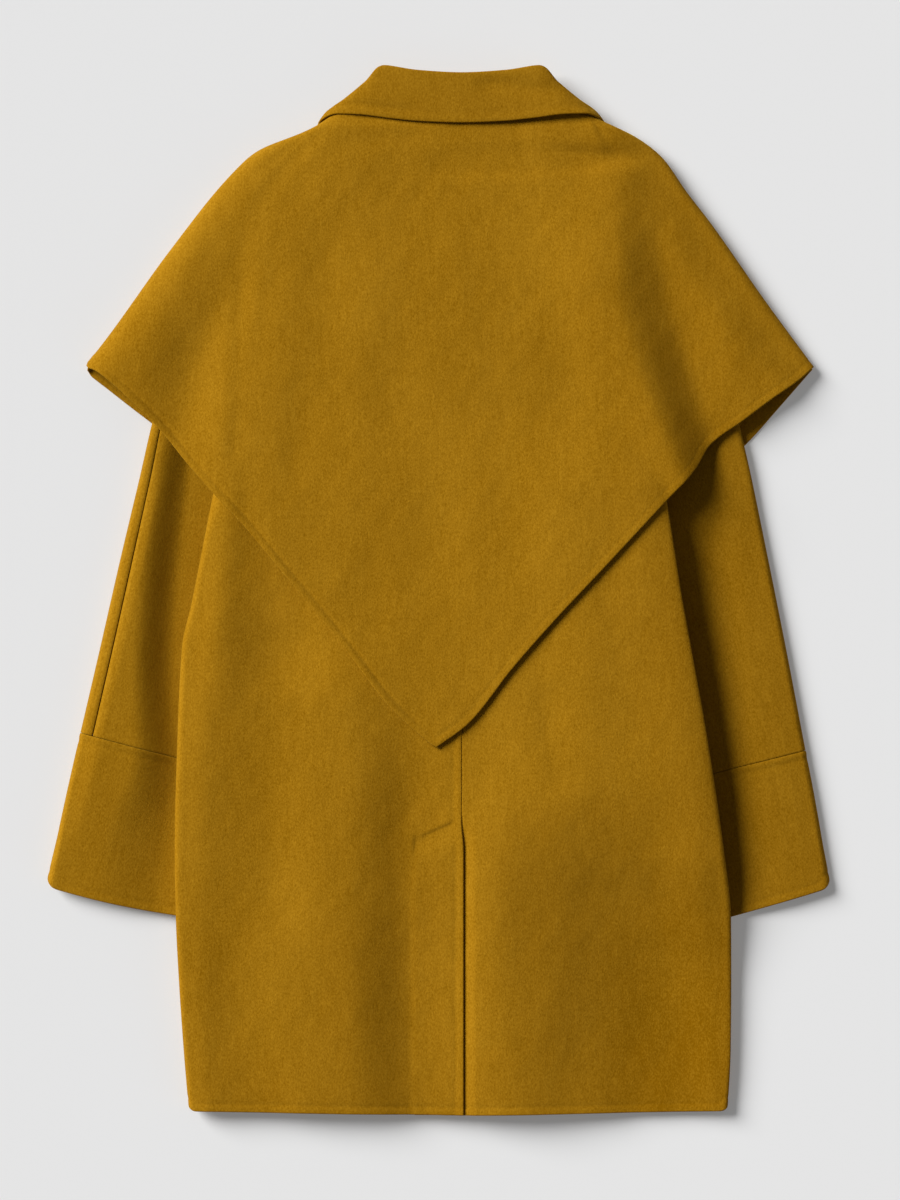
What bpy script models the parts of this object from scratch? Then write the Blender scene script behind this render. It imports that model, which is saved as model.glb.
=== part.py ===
"""A wool coat laid flat, back side up: a body with a centre-back vent, sleeves tucked under its sides, deep flared cuffs,
a fold-over collar and a large triangular cape. Lengths are in millimetres until shell() turns them into metres.
X is across the coat, Y runs from the hem to the collar, Z is up and the surface it lies on is Z = 0.
Each piece is one thin shell on a formula: its middle surface comes first and both faces lie half a cloth away."""

import bpy
import numpy as np

CLOTH = 2.0  # thickness of the doubled wool
LAYER = 3.0  # middle to middle of two layers that lie on each other
SEAM = 0.18  # each piece stops this far short of a seam
FLOOR = CLOTH / 2  # middle of a layer that lies on the surface
CENTRE = 23.0  # x of the centre-back seam
NECK_MIDDLE = 22.5  # x of the middle of the neck
UNDERARM = 150.0  # below it the body's sides are folds, above it they are the armholes
VENT_TOP = -238.0
STRIP = 62.0  # how far in from the body's sides the sleeves reach under it
FALL_RISE = 3.8  # climb over the collar's front ends
OUTER_ROLL, INNER_ROLL, UNDER_ROLL = 5.0, 9.0, 5.0  # rounding of a sleeve's outer edge, inner edge and underside
FOLD_Z = 9.2  # height of the cape's shoulder folds

# Sides of the body: the folds where back and front panels meet, the height of those folds, how far in the cloth rolls over
# from them, and the height of the crowns that it rolls up to.
BODY = (
    ("y", "left", "right", "left_z", "right_z", "left_roll", "right_roll", "left_crown", "right_crown"),
    (-521, -251, 289.5, 8.0, 8.5, 20, 26, 16.0, 15.0),
    (-460, -256, 292.5, 10.5, 11.5, 24, 28, 19.5, 18.5),
    (-392, -260.5, 293, 15.0, 15.0, 30, 32, 22.5, 21.5),
    (-330, -263.5, 292.5, 18.5, 20.5, 34, 32, 25.0, 28.0),
    (-263, -264.5, 285, 19.5, 27.5, 34, 30, 27.5, 34.0),
    (-143, -261.5, 267, 20.5, 33.0, 30, 36, 30.5, 37.8),
    (-57, -257, 251.5, 21.0, 34.5, 34, 42, 31.0, 39.0),
    (-16, -248, 244, 20.5, 34.5, 34, 44, 31.0, 39.0),
    (95, -226, 226, 18.5, 32.5, 30, 42, 30.5, 37.6),
    (150, -214, 214, 18.5, 19.0, 30, 38, 29.0, 32.0),
    (200, -206, 212, 19.5, 17.5, 38, 40, 28.0, 28.5),
    (260, -196, 211, 20.5, 19.0, 40, 40, 26.5, 26.5),
    (330, -188, 213, 19.0, 18.5, 40, 40, 23.0, 23.0),
    (400, -184, 217, 16.5, 16.5, 40, 40, 20.0, 20.0),
    (430, -174, 213, 14.0, 14.0, 40, 40, 19.0, 19.0),
)
SHOULDER = {-1: ((-174, 430), (-104, 458)), 1: ((213, 426), (146, 460))}
BACK_TOP = (("share", "up"), (0, 0), (0.34, 8.0), (0.5, 14.0), (0.62, 14.5), (0.85, 5.5), (1.0, 0.0))
FRONT_TOP = (
    ("share", "up"),
    (0, 0),
    (0.154, 19.5),
    (0.308, 39.5),
    (0.323, 32),
    (0.35, 19),
    (0.44, 4.5),
    (0.595, -8),
    (0.765, -11.3),
    (0.868, -8),
    (1.0, -1),
)

# Sleeves: outer edge, inner edge (under the body, then the armhole), height of the ridge along the outer edge, how far in
# the upper side drops from it, how wide that drop is, and heights of the valley there and at the inner edge.
TUBE = ("y_outer", "x_outer", "y_inner", "x_inner", "ridge_z", "drop", "width", "valley_z", "inner_z")
SLEEVE_LEFT = (
    TUBE,
    (418, -193, 414, -181, 11.0, 5, 10, 12.5, 13.5),
    (402, -204, 390, -184.5, 12.0, 9, 16, 14.0, 16.0),
    (360, -224, 345, -187, 13.0, 15, 24, 15.0, 17.0),
    (300, -246, 270, -195, 14.0, 22, 30, 15.0, 17.5),
    (235, -267, 205, -205, 14.0, 26, 30, 11.5, 15.0),
    (180, -284, 155, -213, 15.0, 28, 30, 8.5, 11.0),
    (110, -300.5, 85, -197, 17.5, 32, 34, 6.0, 9.0),
    (30, -319.5, 2, -192, 19.0, 40, 38, 5.0, 9.0),
    (-60, -340, -90, -204, 20.0, 54, 42, 4.8, 9.0),
    (-144, -359.5, -180, -222, 19.5, 79, 48, 5.2, 9.0),
)
SLEEVE_RIGHT = (
    TUBE,
    (416, 227, 412, 216, 11.0, 5, 10, 12.5, 13.5),
    (402, 233.5, 389, 216.5, 12.0, 9, 16, 14.0, 16.0),
    (360, 252, 345, 213.5, 13.5, 15, 24, 15.0, 16.5),
    (300, 271, 270, 211, 14.0, 22, 30, 13.0, 16.0),
    (235, 286, 205, 212, 12.5, 28, 36, 9.0, 13.0),
    (180, 297.5, 155, 214, 11.0, 34, 40, 5.5, 11.0),
    (110, 313.5, 85, 196, 9.0, 32, 40, 4.0, 9.0),
    (30, 330, 2, 194, 9.0, 44, 44, 3.9, 9.0),
    (-60, 348, -88, 206, 10.0, 54, 44, 3.9, 9.0),
    (-162, 367.5, -197, 226, 10.5, 60, 44, 3.9, 9.0),
)
CUFF_LEFT = (
    TUBE,
    (-144.3, -359.6, -180.3, -222.1, 19.5, 79, 48, 5.2, 9.0),
    (-185, -369, -221, -228, 18.5, 84, 60, 5.0, 8.5),
    (-240, -381, -277, -236, 15.5, 84, 84, 5.0, 8.5),
    (-298.5, -392.5, -330, -243, 12.0, 88, 84, 6.0, 8.5),
)
CUFF_RIGHT = (
    TUBE,
    (-162.3, 367.6, -197.3, 226.1, 10.5, 60, 44, 3.9, 9.0),
    (-200, 375, -235, 233, 10.5, 62, 50, 4.2, 9.0),
    (-248, 383.5, -286, 243, 10.0, 64, 56, 5.0, 9.0),
    (-300, 391.5, -340, 250, 9.5, 66, 60, 6.0, 9.0),
)

# The cape: two shoulder folds, the free hem in two halves, the hems and necklines of its fronts, and its height.
CAPE_FOLD_LEFT = ((-116.5, 466), (-129, 459), (-181, 438), (-209, 413), (-267, 341), (-343, 237), (-350, 229), (-352.5, 223))
CAPE_FOLD_RIGHT = ((162, 466), (187, 457), (221, 433.5), (248, 396.5), (273, 364), (326, 288.5), (375, 222))
CAPE_NECK = (
    (-116.5, 466),
    (-109, 471.5),
    (-100, 475.5),
    (-86, 478),
    (-66, 478.5),
    (-30, 477),
    (22, 476),
    (76, 477),
    (112, 478.5),
    (131, 478),
    (145, 475.5),
    (154.5, 471.5),
    (162, 466),
)
CAPE_HEM_LEFT = (
    (-352.5, 223),
    (-350, 220.8),
    (-346, 219.5),
    (-328, 206.5),
    (-312, 192),
    (-297, 178),
    (-278.5, 158.5),
    (-253, 127),
    (-224, 94),
    (-201, 70),
    (-155, 15),
    (-112, -37),
    (-83, -74),
    (-55, -111),
    (-26, -140),
    (-3, -158.6),
)
CAPE_HEM_RIGHT = (
    (-3, -158.6),
    (30, -134),
    (73, -80),
    (116, -31),
    (162, 18),
    (202, 61),
    (228, 89),
    (250, 112),
    (260, 126),
    (269, 141.5),
    (282, 153),
    (301, 166),
    (331, 188.5),
    (361, 209.5),
    (375, 222),
)
FLAP_HEM_LEFT = ((-352, 218.5), (-349, 213.5), (-337, 204), (-307, 180.5), (-286, 164.5), (-220, 110), (-130, 50), (-40, 0), (18, -20))
FLAP_HEM_RIGHT = ((374, 219.5), (343, 184), (307, 144), (240, 85), (150, 30), (70, -8), (27, -20))
FLAP_NECK_LEFT = ((-116, 462.5), (-115.5, 452), (-101, 431), (-77, 411), (-38, 392), (18, 381))
FLAP_NECK_RIGHT = ((161, 462.5), (160.5, 452), (146, 431), (122, 411), (83, 392), (27, 381))
# Height of the cape across it. From the left fold it rolls up to a crest, sags into a trough beside the body and climbs to
# its top; on the right it climbs to a ridge, drops to a foot beside the body and stays low to its last crest.
CAPE_LEFT = (
    ("y", "crest_x", "crest_z", "trough_x", "trough_z", "top_x", "top_z"),
    (130, -326, 21.0, -268, 21.6, -206, 30.6),
    (170, -314, 22.5, -264, 19.4, -202, 30.0),
    (205, -310, 23.0, -256, 18.9, -194, 29.0),
    (250, -292, 23.5, -238, 19.5, -186, 28.0),
    (300, -264, 23.0, -218, 21.5, -174, 26.5),
    (350, -236, 23.0, -200, 23.0, -166, 25.5),
    (400, -200, 21.5, -178, 22.3, -150, 23.5),
    (450, -140, 20.0, -130, 20.6, -110, 21.6),
)
CAPE_RIGHT = (
    ("y", "ridge_x", "ridge_z", "foot_x", "foot_z", "crest_x", "crest_z"),
    (90, 246, 38.5, 290, 22.0, 334, 15.0),
    (130, 231, 38.0, 280, 17.0, 326, 15.5),
    (165, 216, 37.5, 273, 15.5, 320, 16.5),
    (200, 201, 37.0, 262, 15.5, 314, 17.5),
    (240, 188, 36.5, 249, 16.5, 300, 19.5),
    (290, 176, 34.0, 232, 18.8, 276, 22.5),
    (350, 176, 30.5, 222, 20.8, 248, 22.5),
    (400, 170, 25.8, 212, 21.6, 228, 21.6),
    (450, 156, 22.0, 170, 20.0, 182, 19.0),
)
CAPE_MIDDLE = (("y", "z"), (-160, 32.0), (-60, 33.0), (95, 32.5), (200, 31.0), (300, 28.5), (400, 24.0), (475, 21.0))
CAPE_GAP = (("x", "z"), (-200, 3.0), (-30, 3.2), (10, 4.0), (60, 4.8), (230, 4.2))  # rise from back panel to cape at the hem


# The collar, from the centre back to its front end: seam to the neck, fold, and outer edge. The right is its mirror image.
COLLAR = (
    ("neck_x", "neck_y", "neck_z", "fold_x", "fold_y", "fold_z", "edge_x", "edge_y", "edge_z"),
    (0, 479.5, 19.0, 0, 515.5, 23.0, 0, 466.0, 25.6),
    (-34, 480.5, 18.5, -44, 518.0, 22.5, -42, 467.5, 25.4),
    (-66, 482.5, 17.0, -78, 523.0, 20.5, -72, 470.5, 24.8),
    (-90, 483.5, 15.0, -96, 507.0, 18.0, -102, 474.2, 24.0),
    (-108, 482.0, 13.0, -116, 490.5, 15.0, -125, 475.0, 21.0),
    (-119, 466.0, 11.0, -133, 477.0, 12.5, -139.5, 470.0, 14.0),
    (-121, 453.0, 8.5, -137, 467.0, 7.0, -143, 466.5, 3.6),
    (-110.5, 437.5, 7.0, -127, 452.0, 3.2, -146, 444.0, 1.1),
    (-90, 419.5, 6.4, -100, 431.0, 2.6, -134, 402.0, 1.0),
    (-56, 401.5, 6.0, -60, 411.0, 2.4, -114, 372.0, 1.0),
    (-18, 390.0, 6.0, -18, 398.5, 2.4, -85, 352.0, 1.0),
)

# Regions that layers above have to climb over: the cape's fronts and the collar's front ends.
FLAPS = (
    ((-114, 463), (-181, 437), (-209, 412), (-267, 340), (-352, 223), (-286, 166), (-130, 50), (20, -20), (20, 384)),
    ((27, 384), (27, -20), (150, 30), (307, 144), (374, 221), (324, 289), (273, 363), (221, 432), (159, 463)),
)
FALLS = (
    ((-90, 448), (-126, 452), (-116, 400), (-92, 366), (-62, 350), (6, 392)),
    ((39, 392), (107, 350), (137, 366), (161, 400), (171, 452), (135, 448)),
)

# The largest creases that the coat has from lying: ridges (+) and troughs (-) from one point down to another. Each falls
# away over one width on its left and another on its right.
CREASE = ("x0", "y0", "x1", "y1", "left", "right", "height")
BODY_CREASES = (
    CREASE,
    (-157, 120, -166, -120, 42, 40, -5.5),
    (-98, -50, -90, -570, 75, 40, 5.0),
    (-42, -230, -38, -620, 30, 36, -4.4),
    (68, -150, 82, -600, 48, 60, 5.6),
    (200, -230, 226, -640, 108, 60, -9.5),
)
CAPE_CREASES = (
    CREASE,
    (-118, 350, -150, 100, 26, 30, -1.8),
    (36, 370, 88, 60, 30, 36, -1.8),
)


def smooth(t):
    """A soft ramp from 0 to 1."""
    t = np.clip(t, 0, 1)
    return t * t * (3 - 2 * t)


def quarter(t):
    """A quarter of a circle, upright at 0 and level from 1 on."""
    return np.sqrt(1 - (1 - np.clip(t, 0, 1)) ** 2)


def curve(knots, values, at):
    """Values at the knots, joined by a smooth curve that never overshoots and carries on straight past both ends."""
    at = np.asarray(at, float)
    rise = np.diff(values) / np.diff(knots)
    both = rise[:-1] * rise[1:]
    bend = np.where(both > 0, 2 * both / np.where(both > 0, rise[:-1] + rise[1:], 1), 0)
    slope = np.concatenate([rise[:1], bend, rise[-1:]])
    i = np.clip(np.searchsorted(knots, at) - 1, 0, len(knots) - 2)
    step = knots[i + 1] - knots[i]
    past = (at - knots[i]) / step
    t = np.clip(past, 0, 1)
    within = (
        (2 * t**3 - 3 * t**2 + 1) * values[i]
        + (t**3 - 2 * t**2 + t) * step * slope[i]
        + (3 * t**2 - 2 * t**3) * values[i + 1]
        + (t**3 - t**2) * step * slope[i + 1]
    )
    return within + (past - t) * step * np.where(past > 1, slope[i + 1], slope[i])


def read(table, column, at):
    """A named column of a table, at these values of its first column."""
    rows = np.array(table[1:], float)
    rows = rows[np.argsort(rows[:, 0])]
    return curve(rows[:, 0], rows[:, table[0].index(column)], at)


def along(points, t):
    """The point a share t of the way along a smooth curve through these points."""
    points = np.array(points, float)
    steps = np.linalg.norm(np.diff(points, axis=0), axis=1)
    knots = np.concatenate([[0], np.cumsum(steps)]) / steps.sum()
    return np.stack([curve(knots, points[:, k], t) for k in range(points.shape[1])], -1)


def inside(corners, x, y):
    """Distance inside a convex outline given anticlockwise, negative outside it."""
    corners = np.array(corners, float)
    found = np.inf
    for a, b in zip(corners, np.roll(corners, -1, axis=0)):
        side = (b - a) / np.linalg.norm(b - a)
        found = np.minimum(found, side[0] * (y - a[1]) - side[1] * (x - a[0]))
    return found


def creases(table, x, y):
    """Soft ridges and troughs, each fading out at both its ends."""
    total = 0.0
    for x0, y0, x1, y1, left, right, height in table[1:]:
        length = np.hypot(x1 - x0, y1 - y0)
        ex, ey = (x1 - x0) / length, (y1 - y0) / length
        run = ((x - x0) * ex + (y - y0) * ey) / length
        off = (x - x0) * ey - (y - y0) * ex
        fade = smooth(run * 3.5 + 0.5) * smooth((1 - run) * 3.5 + 0.5)
        total = total + height * fade * np.exp(-((off / np.where(off > 0, left, right)) ** 2))
    return total


def rise_fall(x, y):
    return FALL_RISE * np.maximum(*(smooth((inside(f, x, y) + 12) / 60 + 1) for f in FALLS))


def rise_flap(x, y):
    return LAYER * np.maximum(*(smooth((inside(f, x, y) + 14) / 50 + 1) for f in FLAPS))


def rise_sleeve(deep, y):
    """Over the strip of sleeve and cuff that lies under the body, this deep in from its side."""
    return 11.0 * smooth((np.minimum(STRIP - deep, np.minimum(y + 345, UNDERARM + 10 - y))) / 50 + 1)


def armhole(y):
    """0 below the underarm, where the side is a fold, and 1 where it is an armhole edge."""
    return smooth((y - UNDERARM) / 40)


def rolled(u, radius, y):
    """Distance in from the side fold and share of the climb, for u from 0 at the fold to 1 where the roll ends."""
    turn = np.clip(u, -1, 1) * np.pi / 2
    round_off = 1 - np.cos(turn)
    return radius * (round_off + armhole(y) * (u - round_off)), np.sin(turn)


def shoulder_lift(side, x, y, reach):
    """0 on the shoulder seam and 1 at this reach from it."""
    (x0, y0), (x1, y1) = SHOULDER[side]
    length = np.hypot(x1 - x0, y1 - y0)
    deep = ((x - x0) * (y1 - y0) - (y - y0) * (x1 - x0)) / length * (-side)
    return np.sin(np.clip(deep / reach, -1, 1) * np.pi / 2)


def body_row(side, y, end, bulge):
    """Side x and the start and end y of one row, from y on the side. Rows bend up to the neck near the top."""
    top = SHOULDER[side][0][1]
    share = (y + 520) / (top + 520)
    side_x = read(BODY, "left" if side < 0 else "right", np.minimum(y, 430)) - side * CLOTH / 2
    return side_x, -524 + share * (end + 524), smooth(share * 4 - 3) * bulge


def back_high(x, y):
    """Height of the back panels inside the rolls at their sides."""
    left, right = read(BODY, "left_crown", y), read(BODY, "right_crown", y)
    return left + (right - left) * smooth((x - 10) / 150) + creases(BODY_CREASES, x, y)


def back_height(x, y):
    """Height of the back panels as the cape feels them from above, and far down beside them."""
    left, right = (read(BODY, column, np.minimum(y, 430)) for column in ("left", "right"))
    word_left = x < CENTRE
    deep = np.where(word_left, x - left, right - x)
    roll = np.where(word_left, read(BODY, "left_roll", y), read(BODY, "right_roll", y))
    fold_z = np.where(word_left, read(BODY, "left_z", y), read(BODY, "right_z", y))
    t = np.clip(deep / roll, 0, 1)
    climb = quarter(t)
    climb = climb + armhole(y) * (np.sin(t * np.pi / 2) - climb)
    high = fold_z + (back_high(x, y) - fold_z) * climb + 0.55 * np.minimum(deep, 0)
    lift = np.maximum(np.where(word_left, shoulder_lift(-1, x, y, 45), shoulder_lift(1, x, y, 45)), 0)
    return 10 + (high - 10) * lift


def back(side, u, y):
    """The back panel: u is 0 at the side, 1 where the roll ends, 2 at the centre and 3 at the underlap's edge."""
    middle = CENTRE + side * SEAM
    word = "left" if side < 0 else "right"
    side_x, centre_y, bulge = body_row(side, y, 474.5, 1.0)
    wide = np.abs(middle - side_x)
    roll = read(BODY, word + "_roll", y)
    deep, climb = rolled(u, roll, y)
    deep = np.where(u > 1, roll + (np.minimum(u, 2) - 1) * (wide - roll) + np.maximum(u - 2, 0) * 48, deep)
    share = np.minimum(deep / wide, 1)
    x = side_x - side * deep
    row = y + (centre_y - y) * share + bulge * read(BACK_TOP, "up", np.clip(share, 0, 1))
    row = row - np.maximum(u - 2, 0) * 13 * smooth((y + 300) / 60)
    fold_z = read(BODY, word + "_z", y) + 0.3 * (1 - armhole(y))
    high = back_high(x, row)
    z = fold_z + (high - fold_z) * np.where(u > 1, 1, climb)
    if side > 0:
        z = z - 3.2 * smooth((VENT_TOP + 36 - row) / 36) * smooth((38 - x) / 14)
    seam_z = 9 + CLOTH / 2 + 0.3
    z = seam_z + (z - seam_z) * shoulder_lift(side, x, row, 45)
    return np.stack(np.broadcast_arrays(x, row, z), -1)


def front(side, u, y):
    """The front panel, under the back one: u is 0 at the side, 1 where the roll ends, 2 at the end of the sleeve's strip,
    3 where it has come down from it and 4 at its front edge."""
    edge = 53.0 if side < 0 else -7.0
    side_x, edge_y, bulge = body_row(side, y, 386.5, 1.0)
    wide = np.abs(edge - side_x)
    roll = 16.0 if side < 0 else 26.0
    deep, climb = rolled(u, roll, y)
    knots = np.stack(np.broadcast_arrays(roll, STRIP, STRIP + 50, wide), -1)
    for k in (1, 2, 3):
        start, end = knots[..., k - 1], knots[..., k]
        deep = np.where(u > k, start + (u - k) * (end - start), deep)
    share = deep / wide
    x = side_x - side * deep
    row = y + (edge_y - y) * share + bulge * read(FRONT_TOP, "up", np.clip(share, 0, 1))
    z = FLOOR + rise_sleeve(deep, row) + rise_flap(x, row) + rise_fall(x, row)
    if side < 0:
        z = z + (LAYER + 0.3) * smooth((x + 40) / 50 + 1)
    fold_z = read(BODY, "left_z" if side < 0 else "right_z", y) - SEAM
    climb = climb + armhole(y) * (1 - climb)
    z = fold_z + (z - fold_z) * np.where(u > 1, 1, climb)
    seam_z = 9 - CLOTH / 2 - 0.3
    lift = shoulder_lift(side, x, row, 30)
    z = seam_z + (z - seam_z) * np.where(u > 1, lift, 1 - (1 - lift) * smooth((y - 380) / 40))
    return np.stack(np.broadcast_arrays(x, row, z), -1)


def tube(side, table, t, v):
    """A flattened sleeve or cuff. t runs round it: 0 at the inner seam, along the underside to 1 at the outer edge, and
    back over the upper side to 2. v runs down it, from row to row of its table."""
    rows = np.array(table[1:], float)
    knots = np.arange(len(rows), dtype=float)
    y0, x0, y1, x1, ridge, drop, width, valley, inner = (curve(knots, rows[:, k], v) for k in range(9))
    x0 = x0 - side * CLOTH / 2
    x1 = x1 + side * 1.2 * armhole(y1 + 10)
    to_hem = smooth(v - (len(rows) - 2)) if table in (CUFF_LEFT, CUFF_RIGHT) else 0.0
    wide = np.hypot(x1 - x0, y1 - y0)
    upper = t > 1
    w = np.where(upper, t - 1, 1 - t)  # 0 at the outer edge, 1 at the inner seam
    a, b = 0.12, 0.1
    small = np.minimum(1, wide / 60)
    outer_r = np.where(upper, OUTER_ROLL, UNDER_ROLL) * small
    inner_r = np.where(upper, INNER_ROLL, UNDER_ROLL) * small
    start, end = np.clip(w / a, -1, 1) * np.pi / 2, np.clip((1 - w) / b, -1, 1) * np.pi / 2
    is_open = armhole(y1 + 10)
    end_run = 1 - np.cos(end)
    end_run = end_run + is_open * ((1 - w) / b - end_run)
    s = np.where(
        w < a,
        outer_r * (1 - np.cos(start)),
        np.where(w > 1 - b, wide - inner_r * end_run, outer_r + (w - a) / (1 - a - b) * (wide - outer_r - inner_r)),
    )
    x, y = x0 + (x1 - x0) * s / wide, y0 + (y1 - y0) * s / wide
    y = y + to_hem * (8 * (1 - quarter(s / 8)) - (14 if side < 0 else 4) * s / wide * (1 - s / wide))
    y = y + np.where(upper, 0, 1.2 * smooth(s / 12) * smooth((wide - s) / 12))
    under = FLOOR + rise_flap(x, y)
    low = np.minimum((14 if side < 0 else 9) + under - FLOOR, ridge)
    over = (
        low
        + (ridge - low) * smooth(s / np.minimum(24, wide * 0.4))
        + (valley - ridge) * smooth((s - drop) / np.minimum(width, wide * 0.8) + 0.5)
        + (inner - valley) * smooth((s - 0.68 * wide) / (0.27 * wide))
    )
    over = np.maximum(over, under + CLOTH + 0.8)
    climb = np.where(w < a, np.sin(start), np.where(w > 1 - b, np.sin(end) + is_open * (1 - np.sin(end)), 1))
    seam_z = 4.8 + (under - FLOOR) * 0.9 + np.where(w > 0.5, np.where(upper, SEAM, -SEAM), 0)
    z = seam_z + (np.where(upper, over, under) - seam_z) * climb
    return np.stack(np.broadcast_arrays(x, y, z), -1)


def coons(top, bottom, left, right, u, v):
    """A patch between four curves: top and bottom from left to right, left and right from top to bottom."""
    u, v = u[..., None], v[..., None]
    return (
        (1 - v) * top(u[..., 0])
        + v * bottom(u[..., 0])
        + (1 - u) * left(v[..., 0])
        + u * right(v[..., 0])
        - (1 - u) * (1 - v) * left(np.zeros(v.shape[:-1]))
        - (1 - u) * v * left(np.ones(v.shape[:-1]))
        - u * (1 - v) * right(np.zeros(v.shape[:-1]))
        - u * v * right(np.ones(v.shape[:-1]))
    )


def cape_hem(u):
    """The free hem: 0 at the left tip, 1/2 at the bottom tip and 1 at the right tip."""
    left, right = along(CAPE_HEM_LEFT, u * 2), along(CAPE_HEM_RIGHT, u * 2 - 1)
    return np.where((u < 0.5)[..., None], left, right)


def step_up(x, x0, z0, x1, z1):
    """The part of the way from height z0 at x0 to z1 at x1 that has been climbed at x."""
    return (z1 - z0) * smooth((x - x0) / (x1 - x0))


def cape_height(x, y):
    """Height of the cape inside the rolls at its folds: its own shape, or lying on the back panels where they are higher."""
    left = [read(CAPE_LEFT, column, y) for column in CAPE_LEFT[0][1:]]
    right = [read(CAPE_RIGHT, column, y) for column in CAPE_RIGHT[0][1:]]
    middle = read(CAPE_MIDDLE, "z", y)
    knots = [*zip(left[::2], left[1::2]), (left[4] + 60, middle), (right[0] - 90, middle), *zip(right[::2], right[1::2])]
    high = knots[0][1]
    for (x0, z0), (x1, z1) in zip(knots, knots[1:]):
        high = high + step_up(x, x0, z0, x1, z1)
    high = high + creases(CAPE_CREASES, x, y) - 2.0 * smooth((y - 461) / 12)
    gap = 3.8 + np.maximum(read(CAPE_GAP, "z", x) - 3.8, 0) * smooth((190 - y) / 60)
    least = back_height(x, y) + gap
    return (high + least + np.sqrt((high - least) ** 2 + 2)) / 2


def cape_back(u, v):
    """The cape: u is -1 at the left fold, 0 where its roll ends, 1 where the right roll starts and 2 at the right fold.
    v is 0 at the neck and 1 at the hem."""
    ends = along(CAPE_FOLD_LEFT, v), along(CAPE_FOLD_RIGHT, v)
    wide = np.linalg.norm(ends[1] - ends[0], axis=-1)
    near_tip = smooth(v * 3 - 2)
    left_roll, right_roll = 26 - 4 * near_tip, 26 + 18 * smooth(v * 5 - 0.4) - 14 * near_tip
    left, right = np.clip(u + 1, -1, 1) * np.pi / 2, np.clip(2 - u, -1, 1) * np.pi / 2
    share = np.where(
        u < 0,
        left_roll * (1 - np.cos(left)) / wide,
        np.where(u > 1, 1 - right_roll * (1 - np.cos(right)) / wide, (left_roll + u * (wide - left_roll - right_roll)) / wide),
    )
    flat = coons(
        lambda q: along(CAPE_NECK, q),
        cape_hem,
        lambda q: along(CAPE_FOLD_LEFT, q),
        lambda q: along(CAPE_FOLD_RIGHT, q),
        share,
        v,
    )
    x, y = flat[..., 0], flat[..., 1]
    high = cape_height(x, y)
    climb = np.where(u < 0, np.sin(left), np.where(u > 1, np.sin(right), 1))
    fold_z = FOLD_Z - 3 * smooth(v * 2.5 - 1.5)
    z = fold_z + 0.35 + (high - fold_z - 0.35) * climb
    return np.stack(np.broadcast_arrays(x, y, z), -1)


def cape_front(side, u, v):
    """A front of the cape: u is 0 at the shoulder fold, 1 where its roll ends and 2 at its front edge."""
    fold, hem, neck = {
        -1: (CAPE_FOLD_LEFT, FLAP_HEM_LEFT, FLAP_NECK_LEFT),
        1: (CAPE_FOLD_RIGHT, FLAP_HEM_RIGHT, FLAP_NECK_RIGHT),
    }[side]
    fold = fold[:-1] + (hem[0],)
    edge = (neck[-1], hem[-1])
    wide = np.linalg.norm(along(edge, v) - along(fold, v), axis=-1)
    turn = np.clip(u, -1, 1) * np.pi / 2
    deep = np.where(u < 1, 8 * (1 - np.cos(turn)), 8 + (u - 1) * (wide - 8))
    flat = coons(
        lambda q: along(neck, q),
        lambda q: along(hem, q),
        lambda q: along(fold, q),
        lambda q: along(edge, q),
        deep / wide,
        v,
    )
    x, y = flat[..., 0], flat[..., 1]
    fold_z = FOLD_Z - 3 * smooth(v * 2.5 - 1.5)
    z = fold_z - 0.35 + (FLOOR + rise_fall(x, y) - fold_z + 0.35) * np.where(u < 1, np.sin(turn), 1)
    return np.stack(np.broadcast_arrays(x, y, z), -1)


def collar(u, v):
    """The collar: u is 0 at the neck seam, 1/2 on the fold and 1 at the outer edge; v is -10 at the left front end and
    10 at the right one."""
    rows = np.array(COLLAR[1:], float)
    knots = np.arange(-10.0, 11.0)
    order = np.abs(np.arange(-10, 11))
    sign = np.where(np.arange(-10, 11) < 0, 1, -1)
    points = []
    for k in (0, 3, 6):
        x, y, z = rows[order, k] * sign + NECK_MIDDLE, rows[order, k + 1], rows[order, k + 2]
        points.append(np.stack([curve(knots, p, v) for p in (x, y, z)], -1))
    neck, fold, edge = points
    turn = (fold - (neck + edge) / 8) / 0.75
    t = u[..., None]
    return (1 - t) ** 3 * neck + 3 * t * (1 - t) * turn + t**3 * edge


def material(name, colour, roughness):
    made = bpy.data.materials.new(name)
    made.use_nodes = True
    shader = made.node_tree.nodes["Principled BSDF"]
    shader.inputs["Base Color"].default_value = (*colour, 1)
    shader.inputs["Roughness"].default_value = roughness
    return made


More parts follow.
